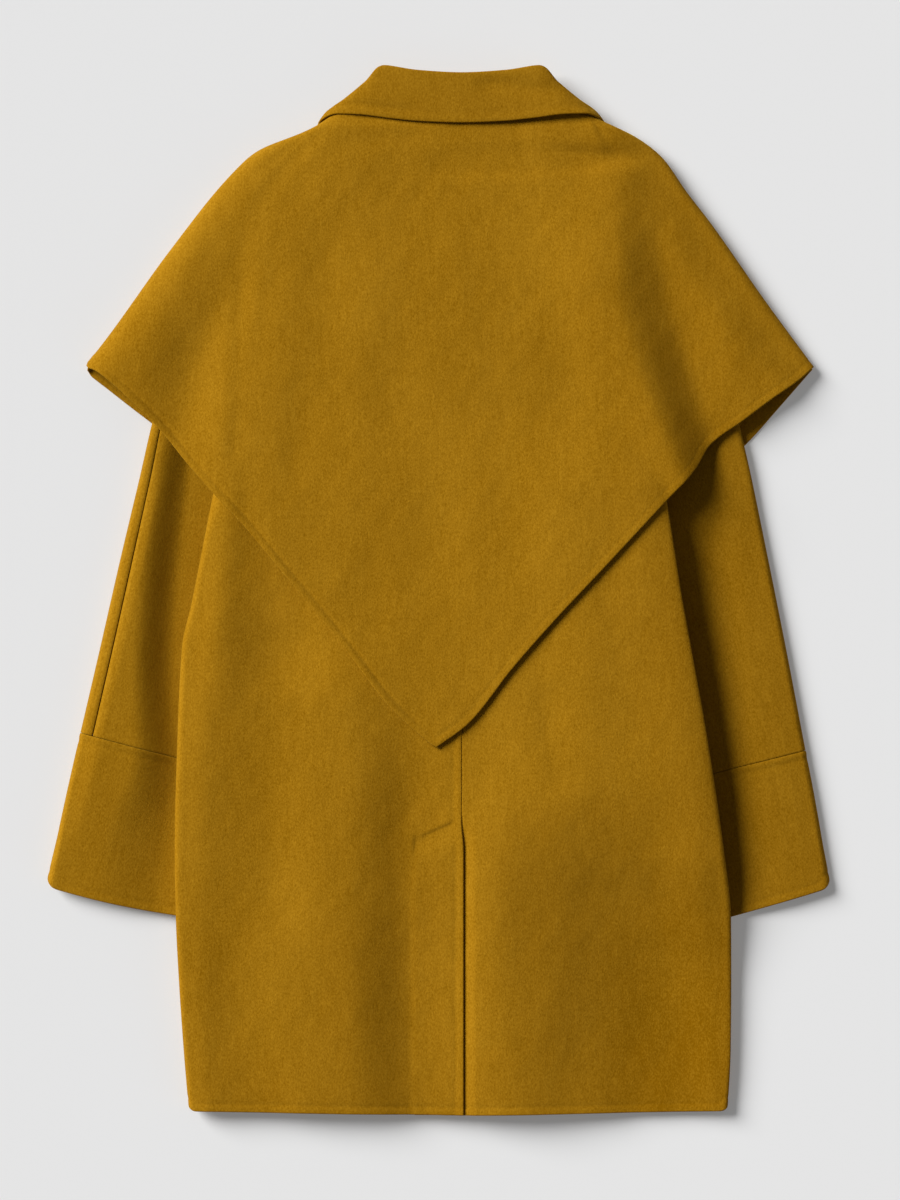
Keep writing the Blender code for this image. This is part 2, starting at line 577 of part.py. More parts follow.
def shell(name, surface, us, vs, plumb=(), ring=False, cells=None):
    """A closed shell half a cloth to each side of surface(u, v). On the edges named in plumb the rim stands upright.
    A ring joins its last u to its first. cells(u, v) says which squares of the grid are cloth."""
    u, v = np.meshgrid(np.array(us, float), np.array(vs, float), indexing="ij")
    middle = surface(u, v)
    du, dv = 1e-3, 0.05
    across = surface(u + du, v) - surface(u - du, v)
    down = surface(u, v + dv) - surface(u, v - dv)
    normal = np.cross(across, down)
    normal /= np.linalg.norm(normal, axis=-1, keepdims=True)
    edges = {"u0": (0, slice(None)), "u1": (-1, slice(None)), "v0": (slice(None), 0), "v1": (slice(None), -1)}
    for edge, weight in dict(plumb).items():
        up = np.zeros_like(normal[edges[edge]])
        up[..., 2] = np.sign(normal[edges[edge]][..., 2])
        share = np.broadcast_to(np.asarray(weight, float), up.shape[:-1])[..., None]
        mixed = normal[edges[edge]] * (1 - share) + up * share
        normal[edges[edge]] = mixed / np.linalg.norm(mixed, axis=-1, keepdims=True)
    points = np.concatenate([(middle + normal * CLOTH / 2).reshape(-1, 3), (middle - normal * CLOTH / 2).reshape(-1, 3)])
    rows, columns = u.shape
    other = rows * columns
    index = np.arange(other).reshape(rows, columns)
    wide = rows if ring else rows - 1
    faces = []
    for i in range(wide):
        j = (i + 1) % rows
        for k in range(columns - 1):
            if cells is not None and not cells((u[i, k] + u[j, k]) / 2, (v[i, k] + v[i, k + 1]) / 2):
                continue
            faces.append((index[i, k], index[j, k], index[j, k + 1], index[i, k + 1]))
    used = {}
    for face in faces:
        for a, b in zip(face, face[1:] + face[:1]):
            used[(a, b)] = used.get((a, b), 0) + 1
    rim = [(a, a + other, b + other, b) for (a, b) in used if (b, a) not in used]
    back = [tuple(p + other for p in face[::-1]) for face in faces]
    every = faces + back + rim
    kept, new = np.unique(np.array(every).reshape(-1), return_inverse=True)
    every = new.reshape(-1, 4)
    points = points[kept] / 1000
    a, b, c, d = (points[every[:, k]] for k in range(4))
    volume = np.einsum("ij,ij->", a, np.cross(b, c)) + np.einsum("ij,ij->", a, np.cross(c, d))
    if volume < 0:
        every = every[:, ::-1]
    mesh = bpy.data.meshes.new(name)
    mesh.from_pydata(points.tolist(), [], every.tolist())
    mesh.materials.append(WOOL)
    made = bpy.data.objects.new(name, mesh)
    bpy.context.scene.collection.objects.link(made)
    return made


def steps(*knots):
    """Values from one knot to the next: each knot is (value, number of steps to the next one)."""
    values = [np.linspace(a, b, n, endpoint=False) for (a, n), (b, _) in zip(knots, knots[1:])]
    return np.concatenate([*values, [knots[-1][0]]])


for old in list(bpy.data.objects):
    bpy.data.objects.remove(old, do_unlink=True)
WOOL = material("wool", (0.30, 0.155, 0.012), 0.9)

BODY_ROWS = steps((-523, 2), (-460, 1), (-410, 3), (-236, 3), (0, 4), (150, 1), (190, 3), (300, 2), (380, 2), (430, 1))
ARM_EDGE = armhole(BODY_ROWS)
for side, word in ((-1, "left"), (1, "right")):
    rows = np.minimum(BODY_ROWS, SHOULDER[side][0][1])
    ends = {"u0": ARM_EDGE, "v1": 1.0}
    if side < 0:
        shell("back_left", lambda u, v: back(-1, u, v), steps((0, 3), (1, 8), (2, 1)), rows, {**ends, "u1": 1.0})
    else:
        columns = steps((0, 3), (1, 7), (1.88, 1), (2, 1), (2.12, 1), (3, 1))
        shell("back_right", lambda u, v: back(1, u, v), columns, rows, ends, cells=lambda u, v: u < 2 or v < VENT_TOP)
    columns = steps((0, 2), (1, 2), (2, 2), (3, 3), (4, 1))
    shell("front_" + word, lambda u, v, s=side: front(s, u, v), columns, np.maximum(rows, -520), ends)

for side, word, sleeve, cuff, seam in (
    (-1, "left", SLEEVE_LEFT, CUFF_LEFT, 1.165),
    (1, "right", SLEEVE_RIGHT, CUFF_RIGHT, 0.86),
):
    rows = steps((0, 8), (8, 2), (9, 1))
    edge = armhole(curve(np.arange(10.0), np.array([row[2] for row in sleeve[1:]], float), rows) + 10)
    shape = lambda u, v, s=side, t=sleeve: tube(s, t, u, v)
    if side < 0:
        under = steps((0, 2), (0.1, 4), (0.88, 2), (1, 3), (seam - 0.003, 1))
        over = steps((seam + 0.003, 6), (1.9, 1), (2, 1))
    else:
        under = steps((0, 2), (0.1, 4), (seam - 0.003, 1))
        over = steps((seam + 0.003, 1), (0.88, 2), (1, 3), (1.12, 6), (1.9, 1), (2, 1))
    shell(f"sleeve_{word}_front", shape, under, rows, {"u0": edge, "u1": float(side > 0)})
    shell(f"sleeve_{word}_back", shape, over, rows, {"u1": edge, "u0": float(side > 0)})
    around = steps((0.003, 2), (0.1, 3), (0.88, 2), (1, 3), (1.12, 6), (1.9, 2), (1.997, 1))
    shell("cuff_" + word, lambda u, v, s=side, t=cuff: tube(s, t, u, v), around, steps((0, 4), (3, 1)), ring=True)

shell("cape_back", cape_back, steps((-1, 3), (0, 21), (1, 4), (2, 1)), steps((0, 5), (0.4, 9), (1, 1)))
for side, word in ((-1, "left"), (1, "right")):
    columns, rows = steps((0, 2), (1, 5), (2, 1)), steps((0, 5), (0.4, 7), (1, 1))
    shell("cape_front_" + word, lambda u, v, s=side: cape_front(s, u, v), columns, rows)
shell("collar", collar, steps((0, 8), (1, 1)), steps((-10, 28), (10, 1)))
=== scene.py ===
"""A long wool coat laid flat with its back up, cut and sewn from a doubled wool cloth.

Every piece is one thin shell of cloth. A function gives the middle of the cloth at (u, v), and
cloth() lays a face on each side of it, rounds the cut edges and turns the hems. Lengths are in
millimetres until cloth() turns them into metres. X is across the coat, Y runs from the hem to the
collar and Z is up. Sides are -1 for left and +1 for right."""

import bpy
import numpy as np
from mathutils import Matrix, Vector


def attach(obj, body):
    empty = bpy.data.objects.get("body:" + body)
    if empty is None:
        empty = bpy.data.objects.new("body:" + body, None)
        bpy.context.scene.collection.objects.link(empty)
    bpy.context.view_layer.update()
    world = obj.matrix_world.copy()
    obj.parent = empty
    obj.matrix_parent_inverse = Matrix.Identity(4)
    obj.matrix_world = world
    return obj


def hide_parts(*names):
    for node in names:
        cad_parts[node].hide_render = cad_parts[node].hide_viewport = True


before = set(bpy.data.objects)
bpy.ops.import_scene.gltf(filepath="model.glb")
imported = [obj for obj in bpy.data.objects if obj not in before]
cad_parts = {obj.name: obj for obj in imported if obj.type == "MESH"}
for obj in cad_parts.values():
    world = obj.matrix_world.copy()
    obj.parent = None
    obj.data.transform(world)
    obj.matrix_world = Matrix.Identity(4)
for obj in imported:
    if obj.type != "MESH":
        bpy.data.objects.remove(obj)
bpy.context.view_layer.update()

CLOTH = 2.0  # thickness of the doubled wool
LAYER = 3.0  # middle to middle of two layers that lie on each other
SEAM = 0.18  # each piece stops this far short of a seam
FLOOR = CLOTH / 2  # middle of a layer that lies on the surface
CENTRE = 23.0  # x of the centre-back seam
NECK_MIDDLE = 22.5  # x of the middle of the neck
UNDERARM = 150.0  # below it the body's sides are folds, above it they are the armholes
HEM_SIDE_Y, HEM_CENTRE_Y = -520, -524  # y of one row beside the hem, at the sides and the centre
BACK_NECK_Y, FRONT_NECK_Y = 474.5, 386.5  # where the top rows of back and front end
FRONT_EDGE = {-1: 53.0, 1: -7.0}  # x of the front edges; the left front lies over the right one
FRONT_ROLL = {-1: 16.0, 1: 26.0}  # how far in the fronts roll down from the side folds
VENT_TOP = -238.0
UNDERLAP = 48.0  # width of the vent's underlap
STRIP = 62.0  # how far in from the body's sides the sleeves reach under it
SLEEVE_RISE = 11.0  # climb over that strip
CUFF_END = -345  # y of its lower end
FALL_RISE = 3.8  # climb over the collar's front ends
SHOULDER_Z = 9  # height of the shoulder seams, between back and front
SHOULDER_GAP = 0.3  # from that height to the face of either layer
BACK_REACH, FRONT_REACH = 45, 30  # how far in from the shoulder seams the panels slope to them
OUTER_ROLL, INNER_ROLL, UNDER_ROLL = 5.0, 9.0, 5.0  # rounding of a sleeve's edges and underside
FOLD_Z = 9.2  # height of the cape's shoulder folds

# Sides of the body: the folds where back and front panels meet, the height of those folds, how far
# in the back rolls over from them, and the height of the crowns that it rolls up to.
BODY = (
    "y left right left_z right_z left_roll right_roll left_crown right_crown".split(),
    (-521, -251, 289.5, 8.0, 8.5, 20, 26, 16.0, 15.0),
    (-460, -256, 292.5, 10.5, 10.5, 24, 28, 19.5, 13.5),
    (-392, -260.5, 293, 15.0, 11.5, 30, 32, 22.5, 16.0),
    (-330, -263.5, 292.5, 18.5, 17.5, 34, 32, 25.0, 23.0),
    (-263, -264.5, 285, 19.5, 27.5, 34, 30, 27.5, 34.0),
    (-143, -261.5, 267, 20.5, 33.0, 30, 36, 30.5, 37.8),
    (-57, -257, 251.5, 21.0, 34.5, 34, 42, 31.0, 39.0),
    (-16, -248, 244, 20.5, 34.5, 34, 44, 31.0, 39.0),
    (95, -226, 226, 18.5, 32.5, 30, 42, 30.5, 37.6),
    (150, -214, 214, 18.5, 19.0, 30, 38, 29.0, 32.0),
    (200, -206, 212, 19.5, 17.5, 38, 40, 28.0, 28.5),
    (260, -196, 211, 20.5, 19.0, 40, 40, 26.5, 26.5),
    (330, -188, 213, 19.0, 18.5, 40, 40, 23.0, 23.0),
    (400, -184, 217, 16.5, 16.5, 40, 40, 20.0, 20.0),
    (430, -174, 213, 14.0, 14.0, 40, 40, 19.0, 19.0),
)
SHOULDER = {-1: ((-174, 430), (-104, 458)), 1: ((213, 426), (146, 460))}
SIDE_TOP = BODY[-1][0]
# How far the top edges of back and front bend up, by the share of the way in from the side.
BACK_TOP = (
    ("share", "up"),
    (0, 0),
    (0.34, 8.0),
    (0.5, 14.0),
    (0.62, 14.5),
    (0.85, 5.5),
    (1.0, 0.0),
)
FRONT_TOP = (
    ("share", "up"),
    (0, 0),
    (0.154, 19.5),
    (0.308, 39.5),
    (0.323, 32),
    (0.35, 19),
    (0.44, 4.5),
    (0.595, -8),
    (0.765, -11.3),
    (0.868, -8),
    (1.0, -1),
)

# Sleeves, downwards: outer edge, inner edge (the armhole, then under the body), height of the ridge
# along the outer edge, how far in the upper side drops from it, how wide that drop is, and heights
# of the valley there and at the inner edge.
TUBE = "y_outer x_outer y_inner x_inner ridge_z drop width valley_z inner_z".split()
SLEEVE_LEFT = (
    TUBE,
    (418, -193, 414, -181, 11.0, 5, 10, 12.5, 13.5),
    (402, -204, 390, -184.5, 12.0, 9, 16, 14.0, 16.0),
    (360, -224, 345, -187, 13.0, 15, 24, 15.0, 17.0),
    (300, -246, 270, -195, 14.0, 22, 30, 15.0, 17.5),
    (235, -267, 205, -205, 14.0, 26, 30, 11.5, 15.0),
    (180, -284, 155, -213, 15.0, 28, 30, 8.5, 11.0),
    (110, -300.5, 85, -197, 17.5, 32, 34, 6.0, 9.0),
    (30, -319.5, 2, -192, 19.0, 40, 38, 5.0, 9.0),
    (-60, -340, -90, -204, 20.0, 54, 42, 4.8, 9.0),
    (-144, -359.5, -180, -222, 19.5, 79, 48, 5.2, 9.0),
)
SLEEVE_RIGHT = (
    TUBE,
    (416, 227, 412, 216, 11.0, 5, 10, 12.5, 13.5),
    (402, 233.5, 389, 216.5, 12.0, 9, 16, 14.0, 16.0),
    (360, 252, 345, 213.5, 13.5, 15, 24, 15.0, 16.5),
    (300, 271, 270, 211, 14.0, 22, 30, 13.0, 16.0),
    (235, 286, 205, 212, 12.5, 28, 36, 9.0, 13.0),
    (180, 297.5, 155, 214, 11.0, 34, 40, 5.5, 11.0),
    (110, 313.5, 85, 196, 9.0, 32, 40, 4.0, 9.0),
    (30, 330, 2, 194, 9.0, 44, 44, 3.9, 9.0),
    (-60, 348, -88, 206, 10.0, 54, 44, 3.9, 9.0),
    (-162, 367.5, -197, 226, 10.5, 60, 44, 3.9, 9.0),
)
CUFF_LEFT = (
    TUBE,
    (-144.3, -359.6, -180.3, -222.1, 19.5, 79, 48, 5.2, 9.0),
    (-185, -369, -221, -228, 18.5, 84, 60, 5.0, 8.5),
    (-240, -381, -277, -236, 15.5, 84, 84, 5.0, 8.5),
    (-298.5, -392.5, -330, -243, 12.0, 88, 84, 6.0, 8.5),
)
CUFF_RIGHT = (
    TUBE,
    (-162.3, 367.6, -197.3, 226.1, 10.5, 60, 44, 3.9, 9.0),
    (-200, 375, -235, 233, 10.5, 62, 50, 4.2, 9.0),
    (-248, 383.5, -286, 243, 10.0, 64, 56, 5.0, 9.0),
    (-300, 391.5, -340, 250, 9.5, 66, 60, 6.0, 9.0),
)

# The cape: two shoulder folds, the neckline, the free hem in two halves, the hems and necklines of
# its fronts, and its height.
CAPE_FOLD_LEFT = (
    (-116.5, 466),
    (-129, 459),
    (-181, 438),
    (-209, 413),
    (-267, 341),
    (-343, 237),
    (-350, 229),
    (-352.5, 223),
)
CAPE_FOLD_RIGHT = (
    (162, 466),
    (187, 457),
    (221, 433.5),
    (248, 396.5),
    (273, 364),
    (326, 288.5),
    (375, 222),
)
CAPE_NECK = (
    (-116.5, 466),
    (-109, 471.5),
    (-100, 475.5),
    (-86, 478),
    (-66, 478.5),
    (-30, 477),
    (22, 476),
    (76, 477),
    (112, 478.5),
    (131, 478),
    (145, 475.5),
    (154.5, 471.5),
    (162, 466),
)
CAPE_HEM_LEFT = (
    (-352.5, 223),
    (-350, 220.8),
    (-346, 219.5),
    (-328, 206.5),
    (-312, 192),
    (-297, 178),
    (-278.5, 158.5),
    (-253, 127),
    (-224, 94),
    (-201, 70),
    (-155, 15),
    (-112, -37),
    (-83, -74),
    (-55, -111),
    (-26, -140),
    (-3, -158.6),
)
CAPE_HEM_RIGHT = (
    (-3, -158.6),
    (30, -134),
    (73, -80),
    (116, -31),
    (162, 18),
    (202, 61),
    (228, 89),
    (250, 112),
    (260, 126),
    (269, 141.5),
    (282, 153),
    (301, 166),
    (331, 188.5),
    (361, 209.5),
    (375, 222),
)
FLAP_HEM_LEFT = (
    (-352, 218.5),
    (-349, 213.5),
    (-337, 204),
    (-307, 180.5),
    (-286, 164.5),
    (-220, 110),
    (-130, 50),
    (-40, 0),
    (18, -20),
)
FLAP_HEM_RIGHT = (
    (374, 219.5),
    (343, 184),
    (307, 144),
    (240, 85),
    (150, 30),
    (70, -8),
    (27, -20),
)
FLAP_NECK_LEFT = ((-116, 462.5), (-115.5, 452), (-101, 431), (-77, 411), (-38, 392), (18, 381))
FLAP_NECK_RIGHT = ((161, 462.5), (160.5, 452), (146, 431), (122, 411), (83, 392), (27, 381))
# Height of the cape across it. From the left fold it rolls up to a crest, sags into a trough beside
# the body and climbs to its top; on the right it climbs to a ridge, drops to a foot beside the body
# and stays low to its last crest.
CAPE_LEFT = (
    ("y", "crest_x", "crest_z", "trough_x", "trough_z", "top_x", "top_z"),
    (130, -326, 21.0, -268, 21.6, -206, 30.6),
    (170, -314, 22.5, -264, 19.4, -202, 30.0),
    (205, -310, 23.0, -256, 18.9, -194, 29.0),
    (250, -292, 23.5, -238, 19.5, -186, 28.0),
    (300, -264, 23.0, -218, 21.5, -174, 26.5),
    (350, -236, 23.0, -200, 23.0, -166, 25.5),
    (400, -200, 21.5, -178, 22.3, -150, 23.5),
    (450, -140, 20.0, -130, 20.6, -110, 21.6),
)
CAPE_RIGHT = (
    ("y", "ridge_x", "ridge_z", "foot_x", "foot_z", "crest_x", "crest_z"),
    (90, 246, 38.5, 290, 22.0, 334, 15.0),
    (130, 231, 38.0, 280, 17.0, 326, 15.5),
    (165, 216, 37.5, 273, 15.5, 320, 16.5),
    (200, 201, 37.0, 262, 15.5, 314, 17.5),
    (240, 188, 36.5, 249, 16.5, 300, 19.5),
    (290, 176, 34.0, 232, 18.8, 276, 22.5),
    (350, 176, 30.5, 222, 20.8, 248, 22.5),
    (400, 170, 25.8, 212, 21.6, 228, 21.6),
    (450, 156, 22.0, 170, 20.0, 182, 19.0),
)
CAPE_MIDDLE = (
    ("y", "z"),
    (-160, 32.0),
    (-60, 33.0),
    (95, 32.5),
    (200, 31.0),
    (300, 28.5),
    (400, 24.0),
    (475, 21.0),
)
# Rise from the back panels to the cape at its hem.
CAPE_GAP = (("x", "z"), (-200, 3.0), (-30, 3.2), (10, 4.0), (60, 4.8), (230, 4.2))

# The collar, from the centre back to its front end: seam to the neck, fold, and outer edge. The
# table is its left half, and the right half is the mirror image.
COLLAR = (
    "neck_x neck_y neck_z fold_x fold_y fold_z edge_x edge_y edge_z".split(),
    (0, 478.9, 19.0, 0, 515.5, 23.0, 0, 466.0, 25.6),
    (-34, 479.4, 18.5, -44, 518.0, 22.5, -42, 467.5, 25.4),
    (-66, 480.2, 17.0, -78, 523.0, 20.5, -72, 470.5, 24.8),
    (-90, 481.0, 15.2, -96, 507.0, 18.0, -102, 474.2, 24.0),
    (-108, 480.2, 13.2, -116, 490.5, 15.0, -125, 475.0, 21.0),
    (-119, 470.5, 11.0, -133, 477.5, 12.3, -139.5, 470.0, 14.0),
    (-117.2, 453.5, 8.5, -137, 467.0, 7.0, -143, 466.5, 4.5),
    (-110.5, 437.5, 7.0, -127, 452.0, 3.2, -146, 444.0, 1.1),
    (-90, 419.5, 6.4, -100, 431.0, 2.6, -134, 402.0, 1.0),
    (-56, 401.5, 6.0, -60, 411.0, 2.4, -114, 372.0, 1.0),
    (-18, 390.0, 6.0, -18, 398.5, 2.4, -85, 352.0, 1.0),
)

# Regions that layers above have to climb over: the cape's fronts and the collar's front ends.
FLAPS = (
    (
        (-114, 463),
        (-181, 437),
        (-209, 412),
        (-267, 340),
        (-352, 223),
        (-286, 166),
        (-130, 50),
        (20, -20),
        (20, 384),
    ),
    (
        (27, 384),
        (27, -20),
        (150, 30),
        (307, 144),
        (374, 221),
        (324, 289),
        (273, 363),
        (221, 432),
        (159, 463),
    ),
)
FALLS = (
    ((-90, 448), (-126, 452), (-116, 400), (-92, 366), (-62, 350), (6, 392)),
    ((39, 392), (107, 350), (137, 366), (161, 400), (171, 452), (135, 448)),
)

# Creases that the coat has from lying: ridges (+) and troughs (-) from one point to another. Each
# falls away over one width on its left, or below where it runs across, and another on its right.
CREASE = ("x0", "y0", "x1", "y1", "left", "right", "height")
BODY_CREASES = (
    CREASE,
    (-222, 90, -216, -110, 18, 20, 2.0),
    (-160, 180, -165, -80, 37, 74, -6.0),
    (-158, -60, -162, -330, 32, 44, -2.8),
    (-196, -180, -198, -560, 36, 42, -2.2),
    (-98, -50, -88, -570, 75, 38, 5.6),
    (-34, -190, -20, -570, 26, 56, -3.2),
    (-28, -330, -8, -660, 38, 56, -2.7),
    (70, -190, 84, -640, 54, 84, 8.6),
    (208, -250, 246, -660, 122, 50, -7.0),
    (104, -100, 120, -200, 14, 30, -1.6),
)
CAPE_CREASES = (
    CREASE,
    (-196, 320, -204, 120, 9, 10, -1.4),
    (-118, 350, -150, 100, 16, 20, -2.0),
    (-60, 330, -80, -20, 26, 26, 0.9),
    (36, 370, 88, 60, 16, 26, -2.4),
    (110, 330, 150, 60, 30, 26, -0.8),
    (150, 400, 152, 300, 26, 26, 1.2),
    (0, 424, 196, 432, 11, 12, -5.0),
    (-90, 446, 20, 458, 9, 9, -0.6),
)
COLLAR_CREASES = (
    CREASE,
    (-92, 486, -24, 478, 3.5, 3.5, -1.3),
    (40, 506, 118, 498, 9, 9, -1.5),
)
# The two ends of the slanted line of stitches that holds the top of the vent.
TACK = ((10, -234), (-23, -249))


def smooth(t):
    """A soft ramp from 0 to 1."""
    t = np.clip(t, 0, 1)
    return t * t * (3 - 2 * t)


def quarter(t):
    """A quarter of a circle, upright at 0 and level from 1 on."""
    return np.sqrt(1 - (1 - np.clip(t, 0, 1)) ** 2)


def curve(knots, values, at):
    """Values at the knots, joined by a smooth curve that never overshoots and carries on straight
    past both ends."""
    at = np.asarray(at, float)
    rise = np.diff(values) / np.diff(knots)
    both = rise[:-1] * rise[1:]
    bend = np.where(both > 0, 2 * both / np.where(both > 0, rise[:-1] + rise[1:], 1), 0)
    slope = np.concatenate([rise[:1], bend, rise[-1:]])
    i = np.clip(np.searchsorted(knots, at) - 1, 0, len(knots) - 2)
    step = knots[i + 1] - knots[i]
    past = (at - knots[i]) / step
    t = np.clip(past, 0, 1)
    within = (
        (2 * t**3 - 3 * t**2 + 1) * values[i]
        + (t**3 - 2 * t**2 + t) * step * slope[i]
        + (3 * t**2 - 2 * t**3) * values[i + 1]
        + (t**3 - t**2) * step * slope[i + 1]
    )
    return within + (past - t) * step * np.where(past > 1, slope[i + 1], slope[i])


def read(table, column, at):
    """A named column of a table, at these values of its first column."""
    rows = np.array(table[1:], float)
    rows = rows[np.argsort(rows[:, 0])]
    return curve(rows[:, 0], rows[:, table[0].index(column)], at)


def along(points, t):
    """The point a share t of the way along a smooth curve through these points."""
    points = np.array(points, float)
    steps = np.linalg.norm(np.diff(points, axis=0), axis=1)
    knots = np.concatenate([[0], np.cumsum(steps)]) / steps.sum()
    return np.stack([curve(knots, points[:, k], t) for k in range(points.shape[1])], -1)


def inside(corners, x, y):
    """Distance inside a convex outline given anticlockwise, negative outside it."""
    corners = np.array(corners, float)
    found = np.inf
    for a, b in zip(corners, np.roll(corners, -1, axis=0)):
        side = (b - a) / np.linalg.norm(b - a)
        found = np.minimum(found, side[0] * (y - a[1]) - side[1] * (x - a[0]))
    return found


def creases(table, x, y):
    """Soft ridges and troughs, each fading out at both its ends."""
    total = 0.0
    for x0, y0, x1, y1, left, right, height in table[1:]:
        length = np.hypot(x1 - x0, y1 - y0)
        ex, ey = (x1 - x0) / length, (y1 - y0) / length
        run = ((x - x0) * ex + (y - y0) * ey) / length
        off = (x - x0) * ey - (y - y0) * ex
        fade = smooth(run * 3.5 + 0.5) * smooth((1 - run) * 3.5 + 0.5)
        total = total + height * fade * np.exp(-((off / np.where(off > 0, left, right)) ** 2))
    return total


def ripple(x, y):
    """Small unevenness of a cloth that was smoothed by hand, the same every time."""
    chance = np.random.default_rng(41)
    total = 0.0
    for shortest, longest, height, count in ((70, 230, 0.13, 16), (18, 48, 0.025, 18)):
        for _ in range(count):
            turn, shift = chance.uniform(0, 2 * np.pi, 2)
            wave = 2 * np.pi / chance.uniform(shortest, longest)
            run = x * np.cos(turn) * 1.3 + y * np.sin(turn) * 0.7
            total = total + height * np.sin(run * wave + shift)
    return total


def rise_fall(x, y):
    """Climb over the collar's front ends."""
    return FALL_RISE * np.maximum(*(smooth((inside(f, x, y) + 12) / 60 + 1) for f in FALLS))


def rise_flap(x, y):
    """Climb over the fronts of the cape."""
    return LAYER * np.maximum(*(smooth((inside(f, x, y) + 14) / 50 + 1) for f in FLAPS))


def rise_sleeve(deep, y):
    """Climb over the strip of sleeve and cuff under the body, this deep in from its side."""
    along_side = np.minimum(y - CUFF_END, UNDERARM + 10 - y)
    return SLEEVE_RISE * smooth((np.minimum(STRIP - deep, along_side)) / 50 + 1)


def armhole(y):
    """0 below the underarm, where the side is a fold, and 1 where it is an armhole edge."""
    return smooth((y - UNDERARM) / 40)


def rolled(u, radius, y):
    """Distance in from the side fold and share of the climb, for u from 0 at the fold to 1 where
    the roll ends."""
    turn = np.clip(u, -1, 1) * np.pi / 2
    round_off = 1 - np.cos(turn)
    return radius * (round_off + armhole(y) * (u - round_off)), np.sin(turn)


def shoulder_lift(side, x, y, reach):
    """0 on the shoulder seam and 1 at this reach from it."""
    (x0, y0), (x1, y1) = SHOULDER[side]
    length = np.hypot(x1 - x0, y1 - y0)
    deep = ((x - x0) * (y1 - y0) - (y - y0) * (x1 - x0)) / length * (-side)
    return np.sin(np.clip(deep / reach, -1, 1) * np.pi / 2)


def body_row(side, y, end):
    """Side x, centre y and bend of the row that starts at y on the side. The lowest row is the hem,
    and the top one bends up to the neck and ends at end."""
    top = SHOULDER[side][0][1]
    share = (y - HEM_SIDE_Y) / (top - HEM_SIDE_Y)
    side_x = read(BODY, "left" if side < 0 else "right", np.minimum(y, SIDE_TOP))
    centre_y = HEM_CENTRE_Y + share * (end - HEM_CENTRE_Y)
    return side_x - side * CLOTH / 2, centre_y, smooth(share * 4 - 3)


def hem_corner(deep, y):
    """How far up the row at y bends near the side folds, where the hem's corners are rounded."""
    return 6 * (1 - quarter(deep / 7)) * smooth((-505 - y) / 16)


def back_high(x, y):
    """Height of the back panels inside the rolls at their sides."""
    left, right = read(BODY, "left_crown", y), read(BODY, "right_crown", y)
    reach = 150 + 110 * smooth((-200 - y) / 150)
    high = left + (right - left) * smooth((x - 10) / reach)
    return high + creases(BODY_CREASES, x, y) + ripple(x, y)


def back_height(x, y):
    """Height of the back panels as the cape feels them from above, and far down beside them."""
    left, right = (read(BODY, column, np.minimum(y, SIDE_TOP)) for column in ("left", "right"))
    on_left = x < CENTRE
    deep = np.where(on_left, x - left, right - x)
    roll = np.where(on_left, read(BODY, "left_roll", y), read(BODY, "right_roll", y))
    fold_z = np.where(on_left, read(BODY, "left_z", y), read(BODY, "right_z", y))
    t = np.clip(deep / roll, 0, 1)
    climb = quarter(t)
    climb = climb + armhole(y) * (np.sin(t * np.pi / 2) - climb)
    high = fold_z + (back_high(x, y) - fold_z) * climb + 0.55 * np.minimum(deep, 0)
    lift = [shoulder_lift(side, x, y, BACK_REACH) for side in (-1, 1)]
    lift = np.maximum(np.where(on_left, *lift), 0)
    seam_z = SHOULDER_Z + CLOTH / 2
    return seam_z + (high - seam_z) * lift


